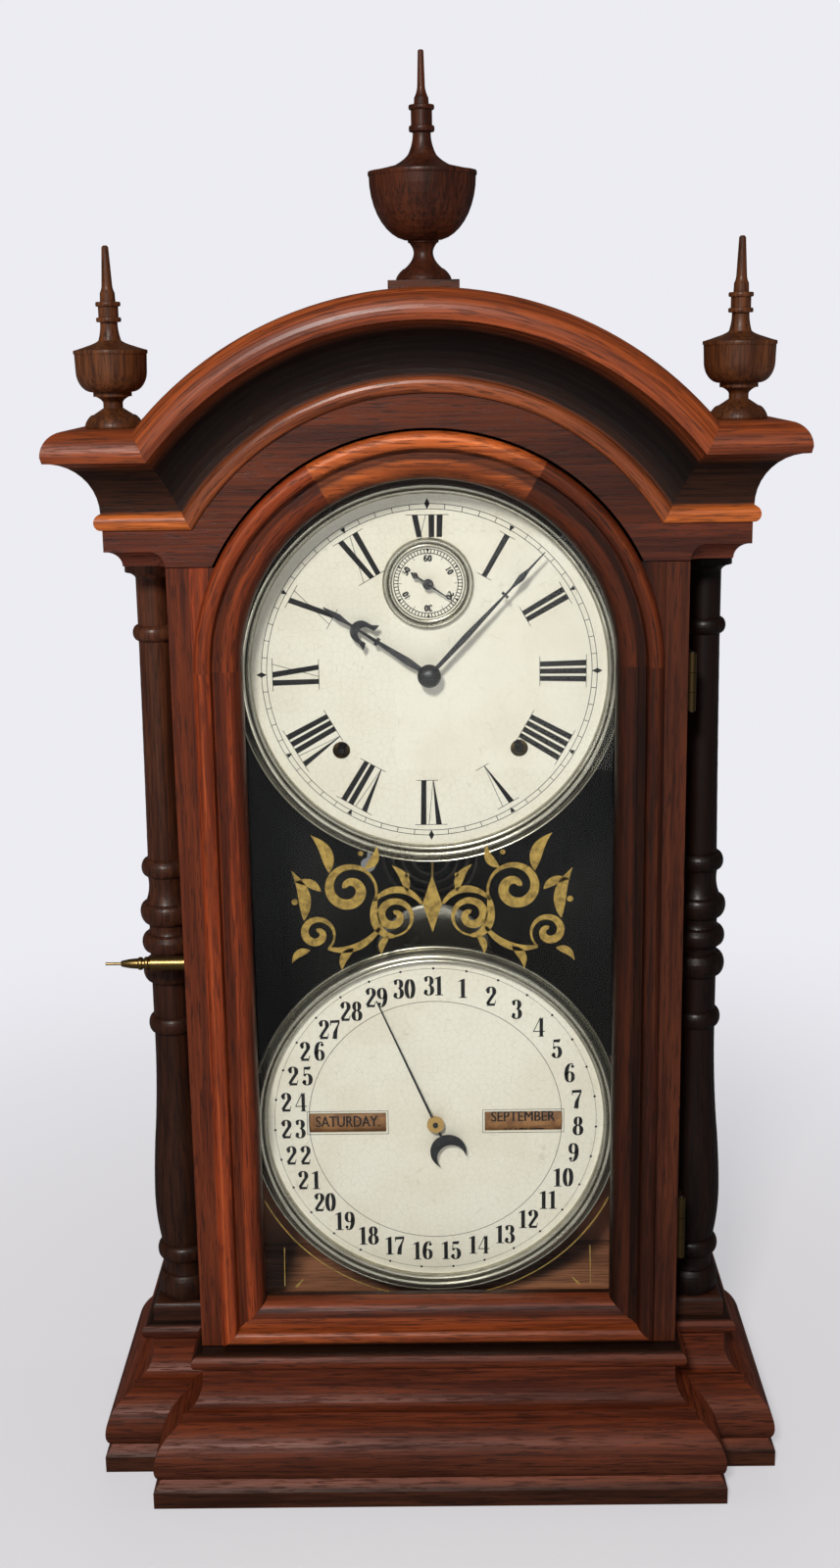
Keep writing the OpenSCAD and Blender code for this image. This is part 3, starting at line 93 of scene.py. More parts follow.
def distance(tree, vector):
    """The length of a vector."""
    return add(tree, "ShaderNodeVectorMath", {0: vector}, operation="LENGTH").outputs["Value"]


def spread(tree, value, a, b, low, high, kind="SMOOTHSTEP"):
    """A value between a and b taken to low and high."""
    keys = {"Value": value, "From Min": a, "From Max": b, "To Min": low, "To Max": high}
    return add(tree, "ShaderNodeMapRange", keys, interpolation_type=kind).outputs[0]


def blend(tree, share, first, second):
    """Two colours mixed: share says how much of the second."""
    return add(tree, "ShaderNodeMix", {0: share, 6: first, 7: second}, data_type="RGBA").outputs[2]


def own_place(tree):
    """Where a point lies on the clock."""
    return add(tree, "ShaderNodeTexCoord").outputs["Object"]


def finish_tree(name):
    """A new material's node tree with its output, ready for a shader."""
    material = bpy.data.materials.new(name)
    material.use_nodes = True
    material.node_tree.nodes.clear()
    return material, material.node_tree, add(material.node_tree, "ShaderNodeOutputMaterial")


def surface(tree, out, shader):
    """Makes a shader the surface of a finish."""
    tree.links.new(shader.outputs[0], out.inputs["Surface"])


room = bpy.data.worlds.new("pale room")
room.use_nodes = True
tree = room.node_tree
tree.nodes.clear()
path = add(tree, "ShaderNodeLightPath").outputs
sight = add(tree, "ShaderNodeTexCoord").outputs["Generated"]
way = add(tree, "ShaderNodeSeparateXYZ", {0: sight}).outputs
behind = spread(tree, way["Y"], -0.4, 0.8, 0.05, 0.17)
overhead = spread(tree, way["Z"], 0.05, 0.9, 0.0, 0.12)
seen = sums(tree, "MAXIMUM", path["Is Camera Ray"], path["Is Transmission Ray"])
sheen = spread(tree, path["Is Glossy Ray"], 0, 1, 1.0, ROOM_IN_POLISH, "LINEAR")
level = sums(tree, "MULTIPLY", sums(tree, "ADD", behind, overhead), sheen)
lit = add(tree, "ShaderNodeBackground", {"Color": tint(250, 248, 246), "Strength": level})
pale = add(tree, "ShaderNodeBackground", {"Color": tint(*WALL), "Strength": 1.0})
mixed = add(tree, "ShaderNodeMixShader", {0: seen, 1: lit.outputs[0], 2: pale.outputs[0]})
add(tree, "ShaderNodeOutputWorld", {"Surface": mixed.outputs[0]})
scene.world = room

floor_mesh = bpy.data.meshes.new("floor")
bm = bmesh.new()
bmesh.ops.create_circle(bm, cap_ends=True, segments=96, radius=6.0)
bmesh.ops.translate(bm, verts=bm.verts, vec=(0, 0, -0.1 * mm))
bm.to_mesh(floor_mesh)
bm.free()
floor = bpy.data.objects.new("floor", floor_mesh)
scene.collection.objects.link(floor)
pale_floor, tree, out = finish_tree("pale floor")
far = distance(tree, own_place(tree))
path = add(tree, "ShaderNodeLightPath").outputs
through_glass = sums(tree, "ADD", path["Is Transmission Ray"], 0.5)
glossy = sums(tree, "GREATER_THAN", path["Is Glossy Ray"], through_glass)
sheet = blend(tree, glossy, tint(*FLOOR), tint(*FLOOR_IN_POLISH))
paper = add(tree, "ShaderNodeBsdfPrincipled", {"Base Color": sheet, "Roughness": 0.7})
glow = spread(tree, glossy, 0, 1, 1.0, HAZE_IN_POLISH, "LINEAR")
haze = add(tree, "ShaderNodeEmission", {"Color": tint(*WALL), "Strength": glow})
fade = spread(tree, far, FADE_START, FADE_END, 0.5, 1.0)
faded = add(tree, "ShaderNodeMixShader", {0: fade, 1: paper.outputs[0], 2: haze.outputs[0]})
surface(tree, out, faded)
floor_mesh.materials.append(pale_floor)


def lamp(name, place, aim, size, power, shine=True):
    """A square soft lamp at a place, turned to what it lights, with or without a reflection of its own."""
    data = bpy.data.lights.new(name, "AREA")
    data.size, data.energy = size, power
    data.color = LAMP_COLOUR
    holder = bpy.data.objects.new(name, data)
    holder.location = place
    holder.rotation_euler = (Vector(aim) - Vector(place)).to_track_quat("-Z", "Y").to_euler()
    holder.visible_glossy = shine
    scene.collection.objects.link(holder)


lamp("key lamp", (-0.4, -2.1, 1.68), CLOCK_MIDDLE, 0.32, 48)
lamp("left lamp", (-1.8, -0.4, 0.9), CLOCK_MIDDLE, 1.0, 4.0, False)
lamp("right lamp", (1.8, 0.2, 0.9), CLOCK_MIDDLE, 1.0, 4.5, False)
lamp("back lamp", (0, 2.0, 1.1), CLOCK_MIDDLE, 1.0, 5.0, False)
lamp("low lamp", (0.1, -1.2, 0.3), CLOCK_FOOT, 0.3, 0.8, False)

# The walnut of the case: reddish brown, straight in the grain, with short dark pores, under an old
# shellac polish. Each board's grain runs along its length, and bent or arched lengths follow the curve.
arch_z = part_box("door_head_left")[0].z
ARCH_GRAIN = 0.16
# Inside the case: black paint, and towards the floor a painted light brown that stands for the light
# falling in there.
PAINT_BLACK, PAINTED_LIGHT_BROWN = (9, 8, 7), (176, 122, 92)
PAINTED_LIGHT_FOOT, PAINTED_LIGHT_TOP = 120, 190
walnut_grain = bpy.data.node_groups.new("walnut grain", "ShaderNodeTree")
for label, kind, way in (
    ("Along", "NodeSocketVector", "INPUT"),
    ("Tone", "NodeSocketColor", "INPUT"),
    ("Color", "NodeSocketColor", "OUTPUT"),
    ("Roughness", "NodeSocketFloat", "OUTPUT"),
    ("Height", "NodeSocketFloat", "OUTPUT"),
):
    walnut_grain.interface.new_socket(label, in_out=way, socket_type=kind)


def vectors(tree, operation, a, b):
    """One Vector Math node and its vector."""
    return add(tree, "ShaderNodeVectorMath", {0: a, 1: b}, operation=operation).outputs[0]


def noise(tree, vector, scale, detail, roughness=0.5, twist=0.0):
    """Cloudy noise of one size."""
    keys = {"Vector": vector, "Scale": scale, "Detail": detail, "Roughness": roughness, "Distortion": twist}
    return add(tree, "ShaderNodeTexNoise", keys).outputs[0]


def stretched(tree, vector, along, scale, detail, twist=0.0):
    """Noise drawn out along the grain."""
    return noise(tree, vectors(tree, "MULTIPLY", vector, (1, 1, along)), scale, detail, 0.6, twist)


tree = walnut_grain
given = add(tree, "NodeGroupInput").outputs
figured = stretched(tree, given["Along"], 0.08, 40, 5, 0.9)
fibre = stretched(tree, given["Along"], 0.03, 420, 4)
pore = spread(tree, stretched(tree, given["Along"], 0.06, 900, 3), 0.52, 0.64, 0.0, 1.0)
streak = sums(tree, "ADD", sums(tree, "MULTIPLY", figured, 0.5), sums(tree, "MULTIPLY", fibre, 0.5))
streak = spread(tree, streak, 0.41, 0.59, 0.0, 1.0, "LINEAR")
dark = vectors(tree, "MULTIPLY", given["Tone"], (0.55, 0.42, 0.3))
light = vectors(tree, "MULTIPLY", given["Tone"], (1.46, 1.26, 0.95))
pit = vectors(tree, "MULTIPLY", given["Tone"], (0.3, 0.26, 0.24))
pitted = blend(tree, sums(tree, "MULTIPLY", pore, 0.8), blend(tree, streak, dark, light), pit)
gloss = spread(tree, streak, 0, 1, 0.48, 0.38, "LINEAR")
gloss = sums(tree, "ADD", gloss, sums(tree, "MULTIPLY", pore, 0.14))
relief = sums(tree, "SUBTRACT", sums(tree, "MULTIPLY", fibre, 0.3), sums(tree, "MULTIPLY", pore, 0.7))
add(tree, "NodeGroupOutput", {"Color": pitted, "Roughness": gloss, "Height": relief})


def measure(tree, across):
    """The distance a board's colours are laid over: height, depth, left to right, or from the middle."""
    x, y, z = add(tree, "ShaderNodeSeparateXYZ", {0: own_place(tree)}).outputs[:]
    if across == "radius":
        rise = sums(tree, "SUBTRACT", z, arch_z)
        squares = sums(tree, "ADD", sums(tree, "POWER", x, 2.0), sums(tree, "POWER", rise, 2.0))
        return sums(tree, "SQRT", squares)
    if across == "width":
        return sums(tree, "ABSOLUTE", x)
    return {"side": x, "height": z, "depth": y}[across]


def along_vector(tree, along, seed):
    """The place on a board, turned so that the grain runs along Z and moved by a seed for each board."""
    x, y, z = add(tree, "ShaderNodeSeparateXYZ", {0: own_place(tree)}).outputs[:]
    if along == "z":
        axes = (x, y, z)
    elif along == "x":
        axes = (y, z, x)
    elif along == "arch":
        turn = sums(tree, "ARCTAN2", x, sums(tree, "SUBTRACT", z, arch_z))
        axes = (measure(tree, "radius"), y, sums(tree, "MULTIPLY", turn, ARCH_GRAIN))
    else:
        normal = add(tree, "ShaderNodeNewGeometry").outputs["Normal"]
        facing = add(tree, "ShaderNodeSeparateXYZ", {0: normal}).outputs
        sideways, forward = (sums(tree, "ABSOLUTE", facing[axis]) for axis in "XY")
        side = sums(tree, "GREATER_THAN", sideways, forward)
        run = add(tree, "ShaderNodeMix", {0: side, 2: x, 3: y}).outputs[0]
        cross = add(tree, "ShaderNodeMix", {0: side, 2: y, 3: x}).outputs[0]
        axes = (cross, z, run)
    vector = add(tree, "ShaderNodeCombineXYZ", dict(enumerate(axes))).outputs[0]
    return vectors(tree, "ADD", vector, (0.37 * seed, 0.53 * seed, 0.71 * seed))


def raised(tree, strength, depth, height):
    """Fine relief: its strength, its depth in millimetres and the height it follows."""
    keys = {"Strength": strength, "Distance": depth * mm, "Height": height}
    return add(tree, "ShaderNodeBump", keys).outputs[0]


def stepped_tone(tree, tones, across):
    """Colours that change across a board, from (millimetres, colour) steps."""
    low, high = tones[0][0], tones[-1][0]
    place = spread(tree, measure(tree, across), low * mm, high * mm, 0.0, 1.0, "LINEAR")
    ramp = add(tree, "ShaderNodeValToRGB", {0: place})
    while len(ramp.color_ramp.elements) < len(tones):
        ramp.color_ramp.elements.new(0.5)
    for stop, (at, colour) in zip(ramp.color_ramp.elements, tones):
        stop.position = (at - low) / (high - low)
        stop.color = tint(*colour)
    return ramp.outputs[0]


def walnut(name, along, tones, across="height", seed=1, black_inside=None, coat=0.05, shine=0.24):
    """Polished walnut. tones is one colour, or (millimetres, colour) steps across the board."""
    material, tree, out = finish_tree(name)
    tone = stepped_tone(tree, tones, across) if isinstance(tones[0], tuple) else tint(*tones)
    keys = {"Along": along_vector(tree, along, seed), "Tone": tone}
    grain = add(tree, "ShaderNodeGroup", keys, node_tree=walnut_grain)
    colour = grain.outputs["Color"]
    if black_inside:
        direction, limit = black_inside
        inner = sums(tree, "LESS_THAN", measure(tree, direction), limit * mm)
        # Below the dials the black gives way to the painted light brown: painted light at the foot of the
        # case.
        kept = spread(tree, measure(tree, "height"), PAINTED_LIGHT_FOOT * mm, PAINTED_LIGHT_TOP * mm, 0.0, 1.0)
        colour = blend(tree, inner, colour, blend(tree, kept, tint(*PAINTED_LIGHT_BROWN), tint(*PAINT_BLACK)))
    bump = raised(tree, 0.25, 0.4, grain.outputs["Height"])
    keys = {"Base Color": colour, "Roughness": grain.outputs["Roughness"], "Coat Weight": coat}
    keys.update({"Coat Roughness": 0.28, "Specular IOR Level": shine, "Normal": bump})
    surface(tree, out, add(tree, "ShaderNodeBsdfPrincipled", keys))
    return material


# The breakfront base: plinth board, ogee mouldings mitred round the bay and the two column plinths, and
# a cap board with a half-round edge. The grain runs round with the mouldings.


def dress(material, *names):
    """Gives CAD nodes their finish."""
    for name in names:
        if not nodes[name].material_slots:
            nodes[name].data.materials.append(material)
        for slot in nodes[name].material_slots:
            slot.material = material


z_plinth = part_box("base_plinth")[1].z / mm
# The plinth's face is painted dark and its sloped top light: painted shade and painted light.
plinth_tones = ((0, (54, 30, 21)), (z_plinth - 6, (56, 31, 22)), (z_plinth, (104, 53, 35)))
dress(walnut("plinth walnut", "wrap", plinth_tones, seed=1, coat=0.0, shine=0.16), "base_plinth")
z_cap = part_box("base_cap")[0].z / mm
# The mouldings are painted darker at the foot of the belly: painted shade.
base_tones = (
    (z_plinth, (58, 30, 20)),
    (z_plinth + 8, (66, 33, 22)),
    (z_plinth + 22, (90, 46, 32)),
    (z_plinth + 30, (92, 45, 29)),
    (z_plinth + 36, (88, 42, 26)),
    (z_cap, (86, 41, 25)),
)
base_walnut = walnut("base walnut", "wrap", base_tones, seed=2, coat=0.0, shine=0.16)
dress(base_walnut, "base_bay_moulding", "base_left_moulding", "base_right_moulding")
cap_tones = (
    (z_cap, (82, 39, 23)),
    (z_cap + 8.8, (84, 40, 24)),
    (z_cap + 9.8, (36, 19, 12)),
    (z_cap + 10.5, (30, 16, 10)),
)
dress(walnut("cap walnut", "wrap", cap_tones, seed=3, coat=0.0), "base_cap")

# Two turned columns on square blocks, under heads with scooped edges, in dark wood.
# They are turned from the solid, with rings at the foot, the middle and the head.
dress(walnut("block walnut", "x", (50, 27, 19), seed=4), "column_blocks")
column_low, column_high = (v.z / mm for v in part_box("column_left"))
# The left column is coloured lighter towards its head; the right one is painted near black, painted shade.
rising = (
    (column_low, (42, 23, 15)),
    (column_low + 170, (48, 26, 18)),
    (column_high - 120, (74, 43, 30)),
    (column_high, (84, 50, 36)),
)
dress(walnut("column walnut left", "z", rising, seed=5, coat=0.12), "column_left")
dress(walnut("column walnut right", "z", (24, 13, 10), seed=6, coat=0.12), "column_right")
dress(walnut("head walnut", "x", (88, 42, 28), seed=7), "head_left", "head_right")
dress(walnut("strip walnut", "x", (80, 38, 26), seed=8), "strip_left", "strip_right")

# The box behind the door: two side boards and a back board nailed on behind them, painted black
# inside. Near the floor the black gives way to a painted light brown: the light that falls in at the front
# below the dials.
side_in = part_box("case_side_right")[0].x / mm + 0.5
inner_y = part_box("case_back")[0].y / mm
side_walnut = walnut("side walnut", "z", (80, 40, 26), seed=9, black_inside=("width", side_in))
dress(side_walnut, "case_side_left", "case_side_right")
back_face = ("depth", inner_y + 0.5)
dress(walnut("back board", "z", (98, 66, 46), seed=10, black_inside=back_face, coat=0.0), "case_back")

# The floor of the case: a thin dusty board on the base, seen through the foot of the pane beside the
# calendar. It lies loose between the side boards.
board_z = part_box("base_cap")[1].z + 0.2 * mm
reach, front, rear = (side_in - 1) * mm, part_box("case_side_left")[0].y + 2 * mm, (inner_y - 1) * mm
corners = ((-reach, front), (reach, front), (reach, rear), (-reach, rear))
board = bpy.data.meshes.new("case_floor")
board.from_pydata([(x, y, board_z) for x, y in corners], [], [(0, 1, 2, 3)])
board.materials.append(walnut("floor board", "x", (168, 120, 98), seed=24, coat=0.0))
case_floor = bpy.data.objects.new("case_floor", board)
scene.collection.objects.link(case_floor)
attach(case_floor, "case")

# The top: a frieze board with the arched cut-out, and a cornice of bead, deep hollow and rounded lip,
# straight at the ends and bent over the arch. The bead is rubbed to a lighter colour. The lip is rubbed
# lighter too, and painted lighter where it faces up to the light. The hollow under it is painted near black
# as the lip's shadow.


def laid(steps, low, high):
    """Steps given as parts of a board's width, laid out in millimetres from edge to edge."""
    return tuple((low + part * (high - low), colour) for part, colour in steps)


# The frieze is painted darker from left to right: painted light and shade, the light falling from the left.
frieze_tones = ((-173, (90, 43, 24)), (0, (78, 36, 19)), (173, (56, 26, 15)))
dress(walnut("frieze walnut", "x", frieze_tones, "side", seed=11), "frieze")
corn_low, corn_high = (v.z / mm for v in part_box("cornice_left"))
# The dark steps across the hollow are painted shade under the lip.
cornice_steps = (
    (0.0, (184, 104, 50)),
    (0.14, (178, 98, 46)),
    (0.19, (46, 24, 14)),
    (0.6, (34, 18, 11)),
    (0.72, (122, 61, 32)),
    (1.0, (132, 67, 37)),
)
straight = laid(cornice_steps, corn_low, corn_high)
dress(walnut("cornice walnut", "wrap", straight, seed=12), "cornice_left", "cornice_right")
arch_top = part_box("cornice_arch")[1].z / mm - arch_z / mm
arch_steps = (
    (0.0, (128, 70, 42)),
    (0.14, (116, 62, 36)),
    (0.19, (36, 18, 10)),
    (0.4, (20, 10, 6)),
    (0.6, (20, 10, 6)),
    (0.72, (134, 66, 34)),
    (1.0, (136, 70, 37)),
)
bent = laid(arch_steps, arch_top - (corn_high - corn_low), arch_top)
dress(walnut("bent cornice walnut", "arch", bent, "radius", seed=13, coat=0.2), "cornice_arch")

# Three turned urns with spires: a large one on a block at the crown and two at the corners. They are a
# duller brown than the case, with turning lines round them.
dress(walnut("finial block walnut", "x", (70, 38, 26), seed=14), "finial_block")
dress(walnut("crown urn walnut", "z", (62, 31, 19), seed=15, coat=0.06), "finial_middle")
dress(walnut("corner urn walnut", "z", (84, 51, 32), seed=16, coat=0.06), "finial_left", "finial_right")

# The arched door: stiles, bottom rail and a three-piece arched head, worked with one moulding of a
# rounded inner edge, a groove and a raised ridge. The crown piece of the arch is a lighter wood.


def toned(steps, red, green, blue):
    """Steps of colour made lighter or darker."""
    return tuple((at, (int(r * red), int(g * green), int(b * blue))) for at, (r, g, b) in steps)


ridge_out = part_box("door_head_right")[1].x / mm
stile_in, stile_out = (v.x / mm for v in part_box("door_stile_right"))
# Across the moulding the groove is painted darker, the ridge's shade on it, and the thin light line on the
# ridge's edge is a painted highlight.
door_steps = (
    (0.0, (52, 22, 10)),
    (0.12, (84, 36, 14)),
    (0.22, (106, 46, 18)),
    (0.36, (112, 49, 19)),
    (0.44, (76, 33, 14)),
    (0.58, (70, 30, 13)),
    (0.66, (112, 49, 21)),
    (0.82, (122, 54, 24)),
    (0.86, (140, 68, 33)),
    (0.9, (118, 51, 22)),
    (1.0, (112, 48, 21)),
)
moulding = laid(door_steps, stile_in, ridge_out)
margin = ((ridge_out + 1, (80, 36, 18)), (stile_out, (76, 34, 17)))
# The left stile is painted lighter, and the right stile and right head darker: painted light and shade, the
# light falling from the left.
lit_stile = toned(moulding + margin, 1.12, 1.12, 1.12)
dress(walnut("left stile walnut", "z", lit_stile, "width", seed=31), "door_stile_left")
shaded_margin = ((ridge_out + 1, (72, 35, 20)), (stile_out, (68, 33, 19)))
shaded_stile = toned(moulding, 0.5, 0.5, 0.5) + shaded_margin
dress(walnut("right stile walnut", "z", shaded_stile, "width", seed=18), "door_stile_right")
dress(walnut("left head walnut", "arch", moulding, "radius", seed=19), "door_head_left")
shaded_head = toned(moulding, 0.66, 0.66, 0.66)
dress(walnut("right head walnut", "arch", shaded_head, "radius", seed=25), "door_head_right")
crown_tones = toned(moulding, 1.38, 1.66, 1.9)
dress(walnut("door crown walnut", "x", crown_tones, "radius", seed=20), "door_head_middle")
rail_low, rail_high = (v.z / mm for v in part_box("door_rail"))
# The rail is painted dark along its lower edge, the shade under the door, and darker in a band across its
# upper part.
rail_steps = (
    (0.0, (52, 27, 15)),
    (0.1, (56, 28, 16)),
    (0.14, (122, 61, 32)),
    (0.4, (128, 64, 34)),
    (0.62, (122, 61, 33)),
    (0.67, (80, 37, 20)),
    (0.85, (80, 37, 20)),
    (0.89, (126, 63, 37)),
    (1.0, (116, 57, 33)),
)
dress(walnut("rail walnut", "x", laid(rail_steps, rail_low, rail_high), seed=21), "door_rail")
dress(walnut("beading walnut", "z", (40, 20, 14), seed=22), "glass_beading")

# The door's pane: thin clear glass with a faint grey-green tone and soft smears from wiping. It lies in
# a rebate of the door and is held there by the beading.
pane, tree, out = finish_tree("clear pane")
smear = spread(tree, stretched(tree, own_place(tree), 0.4, 14, 3), 0.3, 0.8, 0.0, 0.05)
keys = {"Base Color": tint(250, 252, 250), "Roughness": smear, "IOR": 1.2, "Transmission Weight": 1.0}
clear = add(tree, "ShaderNodeBsdfPrincipled", keys)
through = add(tree, "ShaderNodeBsdfTransparent", {"Color": (0.97, 0.98, 0.97, 1)})
path = add(tree, "ShaderNodeLightPath").outputs
passing = sums(tree, "MAXIMUM", path["Is Shadow Ray"], path["Is Diffuse Ray"])
glazed = add(tree, "ShaderNodeMixShader", {0: passing, 1: clear.outputs[0], 2: through.outputs[0]})
surface(tree, out, glazed)
dress(pane, "door_glass")

# Metal fittings: nickel-plated spun rings round the dials, brass hinges and pull, steel arbors.
# All are old metal, a little dull, with fine scratches and a thin tarnish in patches.
metal_wear = bpy.data.node_groups.new("tarnish", "ShaderNodeTree")
for label, kind, way in (
    ("Clean", "NodeSocketColor", "INPUT"),
    ("Dull", "NodeSocketColor", "INPUT"),
    ("Polish", "NodeSocketFloat", "INPUT"),
    ("Color", "NodeSocketColor", "OUTPUT"),
    ("Roughness", "NodeSocketFloat", "OUTPUT"),
    ("Height", "NodeSocketFloat", "OUTPUT"),
):
    metal_wear.interface.new_socket(label, in_out=way, socket_type=kind)
tree = metal_wear
given = add(tree, "NodeGroupInput").outputs
spot = own_place(tree)
patch = noise(tree, spot, 40, 5, 0.6)
speck = noise(tree, spot, 900, 2)
dull = sums(tree, "ADD", spread(tree, patch, 0.4, 0.72, 0, 0.6), spread(tree, speck, 0.62, 0.8, 0, 0.25))
metal_colour = blend(tree, dull, given["Clean"], given["Dull"])
rough = sums(tree, "ADD", given["Polish"], sums(tree, "MULTIPLY", dull, 0.16))
add(tree, "NodeGroupOutput", {"Color": metal_colour, "Roughness": rough, "Height": speck})


def metal(name, clean, dull, polish, metallic=1.0):
    """Old metal: its clean and tarnished colours, how rough its polish is and how much of it is bare."""
    material, tree, out = finish_tree(name)
    keys = {"Clean": tint(*clean), "Dull": tint(*dull), "Polish": polish}
    wear = add(tree, "ShaderNodeGroup", keys, node_tree=metal_wear)
    bump = raised(tree, 0.06, 0.1, wear.outputs["Height"])
    keys = {"Base Color": wear.outputs["Color"], "Roughness": wear.outputs["Roughness"]}
    keys.update({"Metallic": metallic, "Normal": bump})
    surface(tree, out, add(tree, "ShaderNodeBsdfPrincipled", keys))
    return material


nickel = metal("nickel plate", (164, 160, 146), (124, 118, 102), 0.2, 0.85)
bob_plate = metal("dull nickel", (118, 115, 106), (66, 62, 54), 0.22)
brass = metal("old brass", (158, 130, 80), (98, 78, 45), 0.3)
blackened = metal("blackened steel", (34, 32, 31), (16, 15, 14), 0.3)
hinge_brass = metal("hinge brass", (112, 92, 58), (66, 52, 32), 0.4)
steel = metal("steel", (150, 150, 152), (90, 86, 80), 0.28)
iron = metal("iron wire", (70, 66, 62), (48, 42, 38), 0.4)
dress(nickel, "time_bezel", "calendar_bezel", "seconds_ring")
dress(bob_plate, "pendulum_bob")
dress(hinge_brass, "hinge_door_leaves", "hinge_case_leaves")
dress(brass, "door_pull", "front_plate", "back_plate", "pendulum_rod", "calendar_frame")
dress(blackened, "winding_left", "winding_right", "escape_wheel")
dress(steel, "hinge_pins", "verge", "hammer")
dress(iron, "gong")

# The wood inside the case: pine cleats glued to the side boards, which carry the dials, and two upright
# rails on the back board, which carry the movement. It is left plain and has gone grey-brown.
dress(walnut("inside pine", "z", (70, 52, 38), seed=23, coat=0.0), "dial_cleats", "movement_rails")

# The two dials: zinc discs painted cream, crazed with age into fine lines, a little yellower in patches.
# They sit on the cleats behind them, inside their nickel rings.
cream, tree, out = finish_tree("dial cream")
spot = own_place(tree)
cloud = noise(tree, spot, 28, 5)
keys = {"Vector": spot, "Scale": 260, "Randomness": 0.9}
craze = add(tree, "ShaderNodeTexVoronoi", keys, feature="DISTANCE_TO_EDGE").outputs["Distance"]
crack = spread(tree, craze, 0.0, 0.05, 0.28, 0.0)
paint = blend(tree, spread(tree, cloud, 0.35, 0.7, 0, 1), tint(233, 228, 214), tint(226, 219, 202))
aged = blend(tree, crack, paint, tint(176, 164, 140))
bump = raised(tree, 0.08, 0.1, craze)
keys = {"Base Color": aged, "Roughness": spread(tree, cloud, 0.3, 0.7, 0.38, 0.5), "Normal": bump}
surface(tree, out, add(tree, "ShaderNodeBsdfPrincipled", keys))
dress(cream, "time_dial", "calendar_dial")

# The time dial's print: long black hour figures with hairline serifs, feet towards the centre, and a
# minute track of two fine circles with strokes, diamonds at the quarters and triangles at the hours.
dial_low, dial_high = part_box("time_dial")
print_y = dial_low.y / mm - 0.06
time_z = (dial_low.z + dial_high.z) / 2 / mm
second_low, second_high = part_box("seconds_ring")
second_z = (second_low.z + second_high.z) / 2 / mm
HOURS = ("I", "II", "III", "IIII", "V", "VI", "VII", "VIII", "IX", "X", "XI", "XII")
FIGURE_IN, FIGURE_OUT = 62.0, 88.4
TRACK_IN, TRACK_OUT, TRACK_LINE, TRACK_STROKE = 91.5, 94.4, 0.36, 0.38

ink, tree, out = finish_tree("dial black")
worn = noise(tree, own_place(tree), 420, 4)
shade = blend(tree, spread(tree, worn, 0.55, 0.75, 0, 1), tint(13, 12, 14), tint(36, 34, 33))
gloss = spread(tree, worn, 0.3, 0.7, 0.5, 0.65)
keys = {"Base Color": shade, "Roughness": gloss, "Specular IOR Level": 0.2}
surface(tree, out, add(tree, "ShaderNodeBsdfPrincipled", keys))


def flat_piece(name, shapes, y):
    """A flat piece of (x, z) outlines in millimetres, facing the front, at one depth."""
    bm = bmesh.new()
    for shape in shapes:
        area = sum(a[0] * b[1] - b[0] * a[1] for a, b in zip(shape, shape[1:] + shape[:1]))
        if abs(area) < 1e-7:
            continue
        corners = shape if area > 0 else shape[::-1]
        bm.faces.new([bm.verts.new((x * mm, y * mm, z * mm)) for x, z in corners])
    mesh = bpy.data.meshes.new(name)
    bm.to_mesh(mesh)
    bm.free()
    piece = bpy.data.objects.new(name, mesh)
    scene.collection.objects.link(piece)
    return piece


def band(line, half, closed=False):
    """Quads along a line, half as wide each side as half says, one number or one for each point."""
    n = len(line)
    halves = half if isinstance(half, (list, tuple)) else [half] * n
    edges = []
    for i, (x, z) in enumerate(line):
        before = line[i - 1] if i or closed else line[i]
        after = line[(i + 1) % n] if i < n - 1 or closed else line[i]
        dx, dz = after[0] - before[0], after[1] - before[1]
        size = math.hypot(dx, dz) or 1.0
        nx, nz = -dz / size * halves[i], dx / size * halves[i]
        edges.append(((x + nx, z + nz), (x - nx, z - nz)))
    pairs = list(zip(edges, edges[1:] + edges[:1]))
    return [[a[0], a[1], b[1], b[0]] for a, b in (pairs if closed else pairs[:-1])]


def ellipse(cx, cz, rx, rz, start, end, steps=20):
    """Points on an ellipse from one angle to another, in degrees, anticlockwise from the right."""
    turn = [math.radians(start + (end - start) * i / steps) for i in range(steps + 1)]
    return [(cx + rx * math.cos(a), cz + rz * math.sin(a)) for a in turn]


def circle_line(cx, cz, r, width, steps=180):
    """A thin drawn circle."""
    return band(ellipse(cx, cz, r, r, 0, 360, steps)[:-1], width / 2, True)


def oblong(x0, z0, x1, z1):
    """An upright rectangle between two corners."""
    return [(x0, z0), (x1, z0), (x1, z1), (x0, z1)]


def above(shape, floor):
    """The part of an outline above a height."""
    kept = []
    for (u0, v0), (u1, v1) in zip(shape, shape[1:] + shape[:1]):
        if v0 >= floor:
            kept.append((u0, v0))
        if (v0 - floor) * (v1 - floor) < 0:
            kept.append((u0 + (u1 - u0) * (floor - v0) / (v1 - v0), floor))
    return kept


